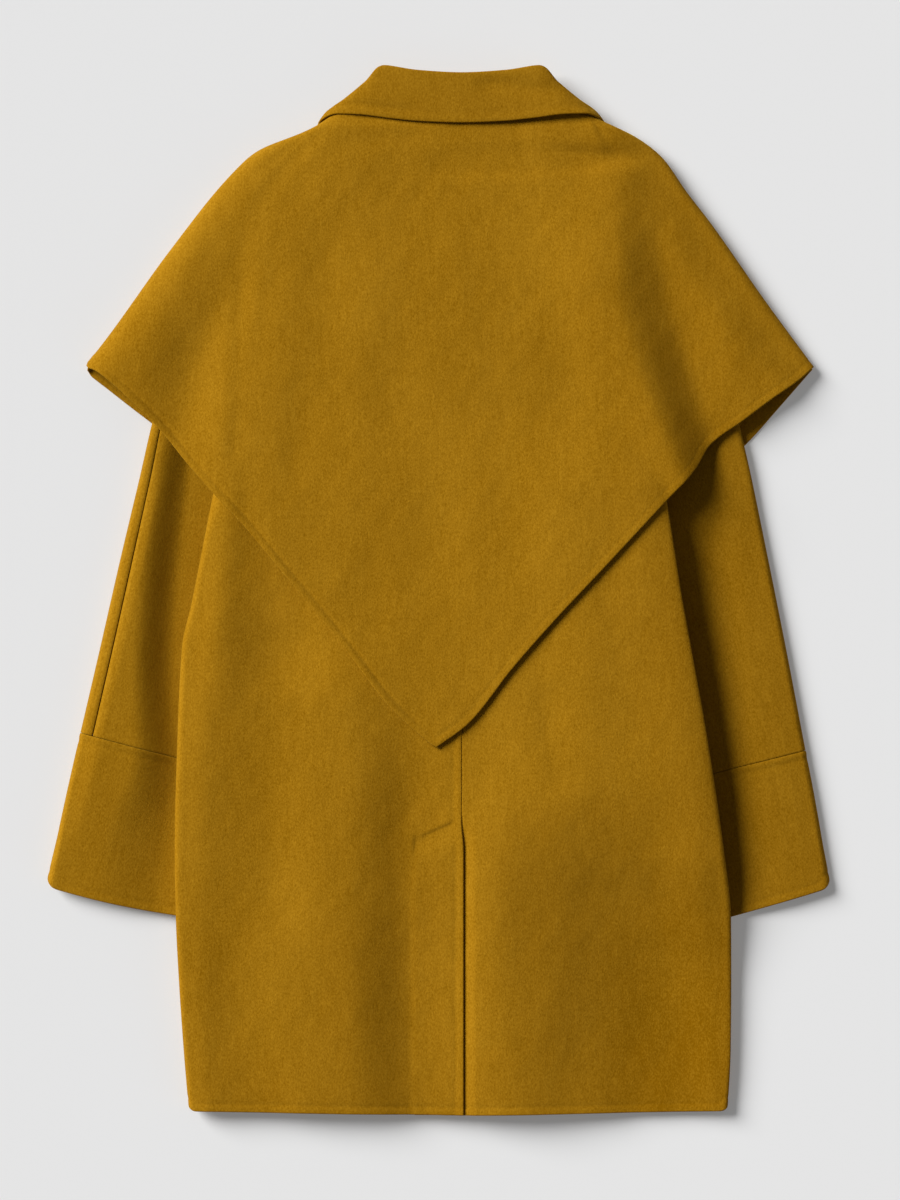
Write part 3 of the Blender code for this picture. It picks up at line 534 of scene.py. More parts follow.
def back(side, u, y):
    """The back panel: u is 0 at the side, 1 where the roll ends, 2 at the centre and 3 at the
    underlap's edge."""
    middle = CENTRE + side * SEAM
    word = "left" if side < 0 else "right"
    side_x, centre_y, bulge = body_row(side, y, BACK_NECK_Y)
    wide = np.abs(middle - side_x)
    roll = read(BODY, word + "_roll", y)
    deep, climb = rolled(u, roll, y)
    lap = np.maximum(u - 2, 0)
    flat = roll + (np.minimum(u, 2) - 1) * (wide - roll) + lap * UNDERLAP
    deep = np.where(u > 1, flat, deep)
    share = np.minimum(deep / wide, 1)
    x = side_x - side * deep
    row = y + (centre_y - y) * share + bulge * read(BACK_TOP, "up", np.clip(share, 0, 1))
    row = row - lap * 13 * smooth((y + 300) / 60)  # the underlap's top slants down
    row = row + hem_corner(deep, y)
    fold_z = read(BODY, word + "_z", y) + 0.3 * (1 - armhole(y))
    high = back_high(x, row)
    if side > 0:
        lip = 0.5 * quarter(deep / 3.5) + 0.5 * smooth((deep - 2) / (roll - 2))
        climb = climb + (lip - climb) * smooth((-200 - y) / 90) * (u < 1)
    else:
        lip = 0.6 * quarter(deep / 4) + 0.4 * smooth((deep + 6) / (roll + 6))
        climb = climb + (np.minimum(lip, 1) - climb) * smooth((UNDERARM - 40 - y) / 60) * (u < 1)
        # The stitches pull in a line, and the underlap's edge is felt through the cloth below it.
        (x0, y0), (x1, y1) = TACK
        below = y0 + (x - x0) * (y1 - y0) / (x1 - x0) - row
        held = smooth((x - x1) / 5 + 1) * smooth((x0 - x) / 6 + 1)
        high = high - held * smooth(below / 3.5 + 0.5) * smooth(1 - (below - 3) / 25)
        high = high + 0.5 * smooth(below / 20) * smooth((x + 30) / 9) * smooth((CENTRE - x) / 20)
    z = fold_z + (high - fold_z) * np.where(u > 1, 1, climb)
    if side > 0:
        under = smooth((CENTRE + 1 - x) / 2)
        at_vent = smooth((VENT_TOP + 16 + 20 * under - row) / 36)
        z = z - (3.0 + 1.2 * under) * at_vent * smooth((38 - x) / 14)
    else:
        x = x + 2.0 * smooth((VENT_TOP + 6 - row) / 30) * smooth((share - 0.9) / 0.1)
    seam_z = SHOULDER_Z + CLOTH / 2 + SHOULDER_GAP
    z = seam_z + (z - seam_z) * shoulder_lift(side, x, row, BACK_REACH)
    return np.stack(np.broadcast_arrays(x, row, z), -1)


def front(side, u, y):
    """The front panel, under the back one: u is 0 at the side, 1 where the roll ends, 2 at the end
    of the sleeve's strip, 3 where it has come down from it and 4 at its front edge."""
    side_x, edge_y, bulge = body_row(side, y, FRONT_NECK_Y)
    wide = np.abs(FRONT_EDGE[side] - side_x)
    roll = FRONT_ROLL[side]
    deep, climb = rolled(u, roll, y)
    knots = np.stack(np.broadcast_arrays(roll, STRIP, STRIP + 50, wide), -1)
    for k in (1, 2, 3):
        start, end = knots[..., k - 1], knots[..., k]
        deep = np.where(u > k, start + (u - k) * (end - start), deep)
    share = deep / wide
    x = side_x - side * deep
    row = y + (edge_y - y) * share + bulge * read(FRONT_TOP, "up", np.clip(share, 0, 1))
    row = row + hem_corner(deep, y)
    z = FLOOR + rise_sleeve(deep, row) + rise_flap(x, row) + rise_fall(x, row)
    if side < 0:
        z = z + (LAYER + 0.3) * smooth((x + 40) / 50 + 1)
    fold_z = read(BODY, "left_z" if side < 0 else "right_z", y) - SEAM
    climb = climb + armhole(y) * (1 - climb)
    z = fold_z + (z - fold_z) * np.where(u > 1, 1, climb)
    seam_z = SHOULDER_Z - CLOTH / 2 - SHOULDER_GAP
    lift = shoulder_lift(side, x, row, FRONT_REACH)
    lift = np.where(u > 1, lift, 1 - (1 - lift) * smooth((y - 380) / 40))
    z = seam_z + (z - seam_z) * lift
    return np.stack(np.broadcast_arrays(x, row, z), -1)


def tube(side, table, t, v):
    """A flattened sleeve or cuff. t runs round it: 0 at the inner seam, along the underside to 1 at
    the outer edge, and back over the upper side to 2. v runs down it, from row to row of its
    table."""
    rows = np.array(table[1:], float)
    knots = np.arange(len(rows), dtype=float)
    y0, x0, y1, x1, ridge, drop, width, valley, inner = (
        curve(knots, rows[:, k], v) for k in range(len(TUBE))
    )
    x0 = x0 - side * CLOTH / 2
    x1 = x1 + side * 1.2 * armhole(y1 + 10)
    to_hem = smooth(v - (len(rows) - 2)) if table in (CUFF_LEFT, CUFF_RIGHT) else 0.0
    wide = np.hypot(x1 - x0, y1 - y0)
    upper = t > 1
    w = np.where(upper, t - 1, 1 - t)  # 0 at the outer edge, 1 at the inner seam
    by_outer, by_inner = 0.12, 0.1  # shares of w in which the two edges are rounded
    small = np.minimum(1, wide / 60)
    outer_r = np.where(upper, OUTER_ROLL, UNDER_ROLL) * small
    inner_r = np.where(upper, INNER_ROLL, UNDER_ROLL) * small
    start = np.clip(w / by_outer, -1, 1) * np.pi / 2
    end = np.clip((1 - w) / by_inner, -1, 1) * np.pi / 2
    is_open = armhole(y1 + 10)
    end_run = 1 - np.cos(end)
    end_run = end_run + is_open * ((1 - w) / by_inner - end_run)
    between = (w - by_outer) / (1 - by_outer - by_inner)
    s = np.where(
        w < by_outer,
        outer_r * (1 - np.cos(start)),
        np.where(
            w > 1 - by_inner,
            wide - inner_r * end_run,
            outer_r + between * (wide - outer_r - inner_r),
        ),
    )
    x, y = x0 + (x1 - x0) * s / wide, y0 + (y1 - y0) * s / wide
    bow = 14 if side < 0 else 4
    y = y + to_hem * (8 * (1 - quarter(s / 8)) - bow * s / wide * (1 - s / wide))
    y = y + np.where(upper, 0, 1.2 * smooth(s / 12) * smooth((wide - s) / 12))
    under = FLOOR + rise_flap(x, y)
    low = np.minimum((14 if side < 0 else 9) + under - FLOOR, ridge)
    over = (
        low
        + (ridge - low) * smooth(s / np.minimum(24, wide * 0.4))
        + (valley - ridge) * smooth((s - drop) / np.minimum(width, wide * 0.8) + 0.5)
        + (inner - valley) * smooth((s - 0.68 * wide) / (0.27 * wide))
    )
    over = np.maximum(over, under + CLOTH + 0.8)
    climb = np.where(w > 1 - by_inner, np.sin(end) + is_open * (1 - np.sin(end)), 1)
    climb = np.where(w < by_outer, np.sin(start), climb)
    seam_z = 4.8 + (under - FLOOR) * 0.9 + np.where(w > 0.5, np.where(upper, SEAM, -SEAM), 0)
    z = seam_z + (np.where(upper, over, under) - seam_z) * climb
    return np.stack(np.broadcast_arrays(x, y, z), -1)


def coons(top, bottom, left, right, u, v):
    """A patch between four curves: top and bottom from left to right, left and right from top to
    bottom."""
    u, v = u[..., None], v[..., None]
    return (
        (1 - v) * top(u[..., 0])
        + v * bottom(u[..., 0])
        + (1 - u) * left(v[..., 0])
        + u * right(v[..., 0])
        - (1 - u) * (1 - v) * left(np.zeros(v.shape[:-1]))
        - (1 - u) * v * left(np.ones(v.shape[:-1]))
        - u * (1 - v) * right(np.zeros(v.shape[:-1]))
        - u * v * right(np.ones(v.shape[:-1]))
    )


def cape_hem(u):
    """The free hem: 0 at the left tip, 1/2 at the bottom tip and 1 at the right tip."""
    left, right = along(CAPE_HEM_LEFT, u * 2), along(CAPE_HEM_RIGHT, u * 2 - 1)
    return np.where((u < 0.5)[..., None], left, right)


def step_up(x, x0, z0, x1, z1):
    """The part of the way from height z0 at x0 to z1 at x1 that has been climbed at x."""
    return (z1 - z0) * smooth((x - x0) / (x1 - x0))


def cape_height(x, y):
    """Height of the cape inside the rolls at its folds: its own shape, or lying on the back panels
    where they are higher."""
    left = [read(CAPE_LEFT, column, y) for column in CAPE_LEFT[0][1:]]
    right = [read(CAPE_RIGHT, column, y) for column in CAPE_RIGHT[0][1:]]
    middle = read(CAPE_MIDDLE, "z", y)
    middle_left, middle_right = (left[4] + 60, middle), (right[0] - 90, middle)
    knots = [
        *zip(left[::2], left[1::2]),
        middle_left,
        middle_right,
        *zip(right[::2], right[1::2]),
    ]
    high = knots[0][1]
    for (x0, z0), (x1, z1) in zip(knots, knots[1:]):
        high = high + step_up(x, x0, z0, x1, z1)
    high = high + creases(CAPE_CREASES, x, y) + ripple(x, y) - 2.0 * smooth((y - 461) / 12)
    gap = 2.8 + (read(CAPE_GAP, "z", x) - 2.8) * smooth((190 - y) / 60)
    least = back_height(x, y) + gap
    return (high + least + np.sqrt((high - least) ** 2 + 2)) / 2


def cape_back(u, v):
    """The cape: u is -1 at the left fold, 0 where its roll ends, 1 where the right roll starts and
    2 at the right fold. v is 0 at the neck and 1 at the hem."""
    ends = along(CAPE_FOLD_LEFT, v), along(CAPE_FOLD_RIGHT, v)
    wide = np.linalg.norm(ends[1] - ends[0], axis=-1)
    near_tip = smooth(v * 3 - 2)
    left_roll, right_roll = 26 - 4 * near_tip, 26 + 18 * smooth(v * 5 - 0.4) - 14 * near_tip
    left, right = np.clip(u + 1, -1, 1) * np.pi / 2, np.clip(2 - u, -1, 1) * np.pi / 2
    flat_share = (left_roll + u * (wide - left_roll - right_roll)) / wide
    share = np.where(
        u < 0,
        left_roll * (1 - np.cos(left)) / wide,
        np.where(u > 1, 1 - right_roll * (1 - np.cos(right)) / wide, flat_share),
    )
    flat = coons(
        lambda q: along(CAPE_NECK, q),
        cape_hem,
        lambda q: along(CAPE_FOLD_LEFT, q),
        lambda q: along(CAPE_FOLD_RIGHT, q),
        share,
        v,
    )
    x, y = flat[..., 0], flat[..., 1]
    high = cape_height(x, y)
    deep = right_roll * (1 - np.cos(right))
    lip = 0.4 * quarter(deep / 8) + 0.6 * smooth((deep - 5) / (right_roll - 5))
    lip = np.sin(right) + (lip - np.sin(right)) * smooth(v * 5 - 0.4)
    climb = np.where(u < 0, np.sin(left), np.where(u > 1, lip, 1))
    fold_z = FOLD_Z - 3 * smooth(v * 2.5 - 1.5)
    z = fold_z + 0.35 + (high - fold_z - 0.35) * climb
    return np.stack(np.broadcast_arrays(x, y, z), -1)


def cape_front(side, u, v):
    """A front of the cape: u is 0 at the shoulder fold, 1 where its roll ends and 2 at its front
    edge."""
    fold, hem, neck = {
        -1: (CAPE_FOLD_LEFT, FLAP_HEM_LEFT, FLAP_NECK_LEFT),
        1: (CAPE_FOLD_RIGHT, FLAP_HEM_RIGHT, FLAP_NECK_RIGHT),
    }[side]
    fold = fold[:-1] + (hem[0],)
    edge = (neck[-1], hem[-1])
    wide = np.linalg.norm(along(edge, v) - along(fold, v), axis=-1)
    turn = np.clip(u, -1, 1) * np.pi / 2
    deep = np.where(u < 1, 8 * (1 - np.cos(turn)), 8 + (u - 1) * (wide - 8))
    flat = coons(
        lambda q: along(neck, q),
        lambda q: along(hem, q),
        lambda q: along(fold, q),
        lambda q: along(edge, q),
        deep / wide,
        v,
    )
    x, y = flat[..., 0], flat[..., 1]
    fold_z = FOLD_Z - 3 * smooth(v * 2.5 - 1.5)
    z = fold_z - 0.35 + (FLOOR + rise_fall(x, y) - fold_z + 0.35) * np.where(u < 1, np.sin(turn), 1)
    return np.stack(np.broadcast_arrays(x, y, z), -1)


def collar(u, v):
    """The collar: u is 0 at the neck seam, 1/2 on the fold and 1 at the outer edge; v is -10 at the
    left front end and 10 at the right one."""
    rows = np.array(COLLAR[1:], float)
    knots = np.arange(-10.0, 11.0)
    order = np.abs(np.arange(-10, 11))
    sign = np.where(np.arange(-10, 11) < 0, 1, -1)
    points = []
    for k in (0, 3, 6):
        x, y, z = rows[order, k] * sign + NECK_MIDDLE, rows[order, k + 1], rows[order, k + 2]
        points.append(np.stack([curve(knots, p, v) for p in (x, y, z)], -1))
    neck, fold, edge = points
    raised = 2.6 * smooth((v - 0.5) / 2.5) * smooth((5.2 - v) / 1.5)
    lowered = 1.8 * smooth((0.5 - v) / 2) * smooth((v + 5) / 2)
    edge[..., 2] += raised - lowered
    turn = (fold - (neck + edge) / 8) / 0.75
    t = u[..., None]
    made = (1 - t) ** 3 * neck + 3 * t * (1 - t) * turn + t**3 * edge
    made[..., 2] += creases(COLLAR_CREASES, made[..., 0], made[..., 1]) * smooth(u * 6 - 3.4)
    return made


def unit(vectors):
    """The same directions, each of length 1."""
    return vectors / np.maximum(np.linalg.norm(vectors, axis=-1, keepdims=True), 1e-9)


def to_line(points, line):
    """Distance of each point from a line of points, and how far along the line its nearest point
    is."""
    best, run = np.full(len(points), np.inf), np.zeros(len(points))
    so_far = 0.0
    for a, b in zip(line, line[1:]):
        length = np.linalg.norm(b - a)
        t = np.clip((points - a) @ (b - a) / length**2, 0, 1)
        far = np.linalg.norm(points - a - t[:, None] * (b - a), axis=-1)
        near = far < best
        best, run = np.where(near, far, best), np.where(near, so_far + t * length, run)
        so_far += length
    return best, run


HEM_TURN = 8.0  # the turned-in hem is this deep, and its hand stitches pull a fine line there
PRICK = 9.0  # from one hand stitch to the next


def even(strength):
    """The same strength all along a hem."""
    return lambda x: strength


def hemmed(points, line, strength):
    """How far a hem stands out of the cloth: a plump edge, then the line that its stitches pull
    in."""
    far, run = to_line(points, line)
    pull = 0.75 + 0.25 * np.cos(run * 2 * np.pi / PRICK)
    plump = 0.25 * smooth((HEM_TURN - far) / 5)
    stitched = 0.4 * pull * np.exp(-(((far - HEM_TURN) / 2.2) ** 2))
    return strength * (plump - stitched)


def beaded(points, line):
    """A seam's edge, plump over the allowance inside it."""
    far, _ = to_line(points, line)
    return 0.3 * np.exp(-(((far - 2.6) / 2.6) ** 2)) - 0.3 * np.exp(-(((far - 8.5) / 2.5) ** 2))


def link_mesh(name, points, faces):
    """A smooth mesh of squares, linked to the scene."""
    mesh = bpy.data.meshes.new(name)
    mesh.vertices.add(len(points))
    mesh.vertices.foreach_set("co", points.ravel())
    mesh.loops.add(len(faces))
    mesh.loops.foreach_set("vertex_index", faces)
    mesh.polygons.add(len(faces) // 4)
    mesh.polygons.foreach_set("loop_start", np.arange(0, len(faces), 4))
    mesh.polygons.foreach_set("use_smooth", np.ones(len(faces) // 4, bool))
    mesh.update(calc_edges=True)
    made = bpy.data.objects.new(name, mesh)
    bpy.context.scene.collection.objects.link(made)
    return made


ROUNDS = 5  # steps in the rounding of a cut edge, from one face to the other


def cloth(name, surface, us, vs, ring=False, cells=None, plumb=(), hems=None, beads=(), sewn=()):
    """A shell half a cloth to each side of surface(u, v), with rounded edges. Its outer face is the
    one that faces the normal of the grid. On the edges named in plumb the normal stands upright.
    hems are turned edges, beads are plump seams and sewn edges meet another piece and are hardly
    rounded. A ring joins its last u to its first, and cells(u, v) says which squares of the grid
    are cloth."""
    hems = hems or {}
    u, v = np.meshgrid(np.array(us, float), np.array(vs, float), indexing="ij")
    middle = surface(u, v)
    rows, columns = u.shape
    if ring:
        wrapped = np.concatenate([middle[-1:], middle, middle[:1]])
        across = np.gradient(wrapped, axis=0)[1:-1]
    else:
        across = np.gradient(middle, axis=0)
    down = np.gradient(middle, axis=1)
    normal = unit(np.cross(across, down))
    edges = {
        "u0": (0, slice(None)),
        "u1": (-1, slice(None)),
        "v0": (slice(None), 0),
        "v1": (slice(None), -1),
    }
    for edge, weight in dict(plumb).items():
        up = np.zeros_like(normal[edges[edge]])
        up[..., 2] = np.sign(normal[edges[edge]][..., 2])
        share = np.broadcast_to(np.asarray(weight, float), up.shape[:-1])[..., None]
        normal[edges[edge]] = unit(normal[edges[edge]] * (1 - share) + up * share)

    index = np.arange(rows * columns).reshape(rows, columns)
    if ring:
        index = np.concatenate([index, index[:1]])
    quads = np.stack([index[:-1, :-1], index[1:, :-1], index[1:, 1:], index[:-1, 1:]], -1)
    if cells is not None:
        middle_u, middle_v = (u[:-1, :-1] + u[1:, 1:]) / 2, (v[:-1, :-1] + v[1:, 1:]) / 2
        quads = quads[cells(middle_u, middle_v)]
    quads = quads.reshape(-1, 4)

    points, normal = middle.reshape(-1, 3), normal.reshape(-1, 3)
    swell = np.zeros(len(points))
    for edge in (*hems, *beads):
        line = middle[edges[edge]]
        if ring:
            line = np.concatenate([line, line[:1]])
        if edge in hems:
            swell += hemmed(points, line, hems[edge](points[:, 0]))
        else:
            swell += beaded(points, line)
    half = CLOTH / 2
    starts, ends = quads.reshape(-1), np.roll(quads, -1, axis=1).reshape(-1)
    codes, reverse = starts * len(points) + ends, ends * len(points) + starts
    rim = ~np.isin(codes, reverse)
    a, b = starts[rim], ends[rim]
    outward = unit(np.cross(points[b] - points[a], normal[a] + normal[b]))
    room = np.full(len(points), np.inf)
    for turned in (1, 2):
        inner = np.roll(quads, -1 - turned, axis=1).reshape(-1)[rim]
        depth = ((points[a] - points[inner]) * outward).sum(-1)
        np.minimum.at(room, a, depth)
        np.minimum.at(room, b, depth)
    out = np.zeros_like(points)
    np.add.at(out, a, outward)
    np.add.at(out, b, outward)
    turning = np.linalg.norm(out, axis=-1, keepdims=True)
    out = unit(out)
    on_rim = turning[:, 0] > 0
    inset = half * np.clip(2 / np.maximum(turning[:, 0], 1e-9), 1, 1.4)
    if hems:
        inset = np.minimum(inset, 0.7 * np.maximum(room, 0.1))
    round_off = np.ones((rows, columns))
    for edge, weight in dict(sewn).items():
        round_off[edges[edge]] = 1 - 0.65 * np.asarray(weight, float)
    round_off = round_off.reshape(-1)
    inset = inset * round_off
    points = points - out * (inset * on_rim)[:, None]

    layers = []
    for k in range(ROUNDS + 1):
        turn = np.pi * k / ROUNDS
        lift = half * np.cos(turn) + swell * (1 + np.cos(turn)) / 2
        proud = half * np.sin(turn) * round_off
        layers.append(points + normal * lift[:, None] + out * proud[:, None])
    count = len(points)
    top, bottom = layers[0], layers[-1]
    edge_points = np.flatnonzero(on_rim)
    place = np.zeros(count, int)
    place[edge_points] = np.arange(len(edge_points))
    every = [top, bottom] + [layer[edge_points] for layer in layers[1:-1]]

    def at(k, which):
        if k == 0:
            return which
        if k == ROUNDS:
            return which + count
        return 2 * count + (k - 1) * len(edge_points) + place[which]

    faces = [quads, quads[:, ::-1] + count]
    for k in range(ROUNDS):
        faces.append(np.stack([at(k, b), at(k, a), at(k + 1, a), at(k + 1, b)], -1))
    faces = np.concatenate(faces)
    used, faces = np.unique(faces.reshape(-1), return_inverse=True)
    points = np.maximum(np.concatenate(every)[used], (-np.inf, -np.inf, 0)) / 1000
    return link_mesh(name, points, faces)


def steps(*knots):
    """Values from one knot to the next: each knot is (value, number of steps to the next one)."""
    values = [np.linspace(a, b, n, endpoint=False) for (a, n), (b, _) in zip(knots, knots[1:])]
    return np.concatenate([*values, [knots[-1][0]]])


class Wire:
    """The output of a node in a material. Arithmetic on it adds Math nodes."""

    def __init__(self, tree, socket=None):
        self.tree, self.socket = tree, socket

    def add(self, kind, settings=None, inputs=None, output=0):
        """A new node: its settings first, then the values or wires of its inputs."""
        made = self.tree.nodes.new("ShaderNode" + kind)
        for name, value in (settings or {}).items():
            setattr(made, name, value)
        for name, value in (inputs or {}).items():
            if isinstance(value, Wire):
                self.tree.links.new(value.socket, made.inputs[name])
            else:
                made.inputs[name].default_value = value
        return Wire(self.tree, made.outputs[output])

    def math(self, operation, a, b):
        return self.add("Math", {"operation": operation}, {0: a, 1: b})

    def __add__(self, other):
        return self.math("ADD", self, other)

    def __mul__(self, other):
        return self.math("MULTIPLY", self, other)

    def __sub__(self, other):
        return self.math("SUBTRACT", self, other)

    def __rsub__(self, other):
        return self.math("SUBTRACT", other, self)

    __radd__, __rmul__ = __add__, __mul__

    def mix(self, a, b):
        """Colour a where this is 0 and b where it is 1."""
        return self.add("Mix", {"data_type": "RGBA"}, {0: self, 6: a, 7: b}, 2)


def new_material(name):
    made = bpy.data.materials.new(name)
    made.use_nodes = True
    made.node_tree.nodes.clear()
    return made, Wire(made.node_tree)


def finish_material(start, shader):
    output = start.tree.nodes.new("ShaderNodeOutputMaterial")
    start.tree.links.new(shader.socket, output.inputs["Surface"])


WOOL_LIGHT = np.array((0.392, 0.1932, 0.0094))
WOOL_DEEP = np.array((0.2165, 0.0928, 0.0006))
PAINTED_SHADE_PATCH = (235, -440)  # middle of a patch painted darker on the lower right of the back: painted shade
SHADE_PATCH_WIDE, SHADE_PATCH_LONG = 90, 170  # how far the patch reaches from its middle, across and down


def brushed_wool(name, lean, shade=1.0, shaded_patch=None):
    """Doubled wool with a short brushed nap, which runs down the coat, turned by lean degrees about
    Z. The factor shade makes the whole colour darker: painted shade for nap seen against the light.
    Round the point in the last argument, (x, y), the colour is painted darker as well: painted
    shade."""
    made, start = new_material(name)
    place = start.add("TexCoord", output="Object")
    turned = start.add("Mapping", {}, {"Vector": place, "Rotation": (0, 0, np.radians(-lean))})

    def speckle(across, down, detail, rough=0.5):
        """Noise from 0 to 1 with spots of these sizes across and down the nap, in millimetres."""
        scaled = start.add(
            "VectorMath",
            {"operation": "MULTIPLY"},
            {0: turned, 1: (1000 / across, 1000 / down, 1000 / across)},
        )
        return start.add(
            "TexNoise",
            {},
            {"Vector": scaled, "Scale": 1.0, "Detail": detail, "Roughness": rough},
        )

    cloudy = speckle(60, 110, 2.0)
    streaky = speckle(5, 26, 2.0)
    grainy = speckle(1.5, 2.4, 2.0, 0.7)
    fibres = speckle(0.5, 2.8, 2.0, 0.6)
    tone = 0.5 + (cloudy - 0.5) * 0.45 + (streaky - 0.5) * 0.4
    tone = tone + (grainy - 0.5) * 1.7 + (fibres - 0.5) * 0.8
    # Painted shade: round the given point the colour is darker, most at the middle of an ellipse.
    if shaded_patch:
        x, y = (
            start.add("SeparateXYZ", {}, {"Vector": place}, output=axis) * 1000 for axis in "XY"
        )
        across, down = (x - shaded_patch[0]) * (1 / SHADE_PATCH_WIDE), (y - shaded_patch[1]) * (1 / SHADE_PATCH_LONG)
        near = 1 - across * across - down * down
        tone = tone - near.math("MAXIMUM", near, 0.0) * 0.3
    tone = start.add("Clamp", {}, {"Value": tone})
    # A shade below 1 gives a darker copy of the wool: painted shade.
    colour = tone.mix((*WOOL_DEEP * shade, 1), (*WOOL_LIGHT * shade, 1))
    relief = grainy * 0.6 + fibres * 0.4 + streaky * 0.3
    bumped = start.add("Bump", {}, {"Height": relief, "Strength": 0.55, "Distance": 0.0006})
    shader = start.add(
        "BsdfPrincipled",
        {},
        {
            "Base Color": colour,
            "Normal": bumped,
            "Roughness": 0.93,
            "Specular IOR Level": 0.08,
            "Specular Tint": (1.0, 0.75, 0.15, 1),
            "Sheen Weight": 0.4,
            "Sheen Roughness": 0.35,
            "Sheen Tint": (1.0, 0.74, 0.09, 1),
        },
    )
    finish_material(start, shader)
    return made


WOOL_BODY = brushed_wool("wool_body", 0)
# The right back panel carries a patch of painted shade on its lower right.
WOOL_BACK_RIGHT_PAINTED_SHADE = brushed_wool("wool_back_right_painted_shade", 0, shaded_patch=PAINTED_SHADE_PATCH)
WOOL_LEFT = brushed_wool("wool_sleeve_left", -13)
# The right sleeve and cuff are a darker copy of the wool: painted shade.
WOOL_RIGHT_PAINTED_SHADE = brushed_wool("wool_sleeve_right_painted_shade", 13, 0.9)
# The collar is a darker copy of the wool: painted shade for its nap seen against the light.
WOOL_COLLAR_PAINTED_SHADE = brushed_wool("wool_collar_painted_shade", 4, 0.93)


def dress(piece, wool, node):
    """Gives a piece its material, hangs it from the root body and hides the CAD node that it
    replaces.
    """
    piece.data.materials.append(wool)
    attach(piece, "root")
    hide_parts(node)


for side, word in ((-1, "left"), (1, "right")):
    top = SHOULDER[side][0][1]
    rows = steps((-523, 14), (-502, 60), (-254, 18), (-230, 150), (top, 1))
    if side < 0:
        columns = steps((0, 9), (1, 50), (1.78, 32), (1.93, 12), (2, 1))
        piece = cloth(
            "left_back_panel",
            lambda u, v: back(-1, u, v),
            columns,
            rows,
            plumb={"u0": armhole(rows), "u1": 1.0, "v1": 1.0},
            hems={"v0": even(1.0)},
            beads=("u1",),
            sewn={"u1": smooth((rows - VENT_TOP) / 8)},
        )
        dress(piece, WOOL_BODY, "back_left")
    else:
        columns = steps((3, 10), (2.1, 3), (2, 12), (1.93, 56), (1, 9), (0, 1))
        piece = cloth(
            "right_back_panel",
            lambda u, v: back(1, u, v),
            columns,
            rows,
            plumb={"u1": armhole(rows), "v1": 1.0},
            cells=lambda u, v: (u < 2) | (v < VENT_TOP),
            hems={"v0": even(1.0)},
        )
        dress(piece, WOOL_BACK_RIGHT_PAINTED_SHADE, "back_right")
    rows = steps((-520, 4), (-500, 120), (top, 1))
    columns = steps((0, 6), (1, 8), (2, 8), (3, 26), (4, 1))[::side * -1]
    side_edge = "u0" if side < 0 else "u1"
    piece = cloth(
        word + "_front_panel",
        lambda u, v, s=side: front(s, u, v),
        columns,
        rows,
        plumb={side_edge: armhole(rows), "v1": 1.0},
    )
    if side < 0:
        dress(piece, WOOL_BODY, "front_left")
    else:
        dress(piece, WOOL_BODY, "front_right")

# Flat cuts of the upper sleeve, the under sleeve and the cuff: across, along and area.
CUTS_LEFT = ((0.14, 0.60, 0.048), (0.18, 0.60, 0.063), (0.31, 0.165, 0.0465))
CUTS_RIGHT = ((0.18, 0.61, 0.068), (0.15, 0.61, 0.057), (0.31, 0.155, 0.0427))
for side, word, sleeve, cuff, seam, wool, cuts in (
    (-1, "left", SLEEVE_LEFT, CUFF_LEFT, 1.165, WOOL_LEFT, CUTS_LEFT),
    (1, "right", SLEEVE_RIGHT, CUFF_RIGHT, 0.86, WOOL_RIGHT_PAINTED_SHADE, CUTS_RIGHT),
):
    rows = steps((0, 128), (8.7, 14), (9, 1))
    y_inner = np.array([row[2] for row in sleeve[1:]], float)
    edge = armhole(curve(np.arange(10.0), y_inner, rows) + 10)
    shape = lambda u, v, s=side, t=sleeve: tube(s, t, u, v)
    if side < 0:
        under = steps((0, 3), (0.1, 16), (0.88, 8), (1, 8), (seam - 0.03, 1), (seam - 0.003, 1))
        over = steps((seam + 0.003, 1), (seam + 0.03, 5), (1.25, 24), (1.9, 3), (2, 1))
    else:
        under = steps((0, 3), (0.1, 22), (seam - 0.003, 1))
        over = steps((seam + 0.003, 1), (0.89, 7), (1, 10), (1.12, 30), (1.9, 3), (2, 1))
    piece = cloth(
        word + "_under_sleeve",
        shape,
        under,
        rows,
        plumb={"u0": edge, "u1": float(side > 0)},
        sewn={"u1": 1.25, "v1": 1.0},
    )
    dress(piece, wool, f"sleeve_{word}_front")
    over_edge, seam_edge = ("u0", "u1") if side < 0 else ("u1", "u0")
    piece = cloth(
        word + "_upper_sleeve",
        shape,
        over[::side],
        rows,
        plumb={over_edge: edge, seam_edge: float(side > 0)},
        sewn={seam_edge: 1.25, "v1": 1.0},
    )
    dress(piece, wool, f"sleeve_{word}_back")
    around = steps((0.003, 6), (0.1, 30), (0.88, 8), (1, 8), (1.12, 40), (1.9, 8), (1.997, 1))
    down = steps((0, 7), (0.07, 32), (0.88, 13), (1, 1)) * (len(cuff) - 2)
    shape = lambda u, v, s=side, t=cuff: tube(s, t, u, v)
    piece = cloth(
        word + "_cuff",
        shape,
        around[::side],
        down,
        ring=True,
        hems={"v1": even(0.8)},
        beads=("v0",),
        sewn={"v0": 1.0},
    )
    dress(piece, wool, "cuff_" + word)

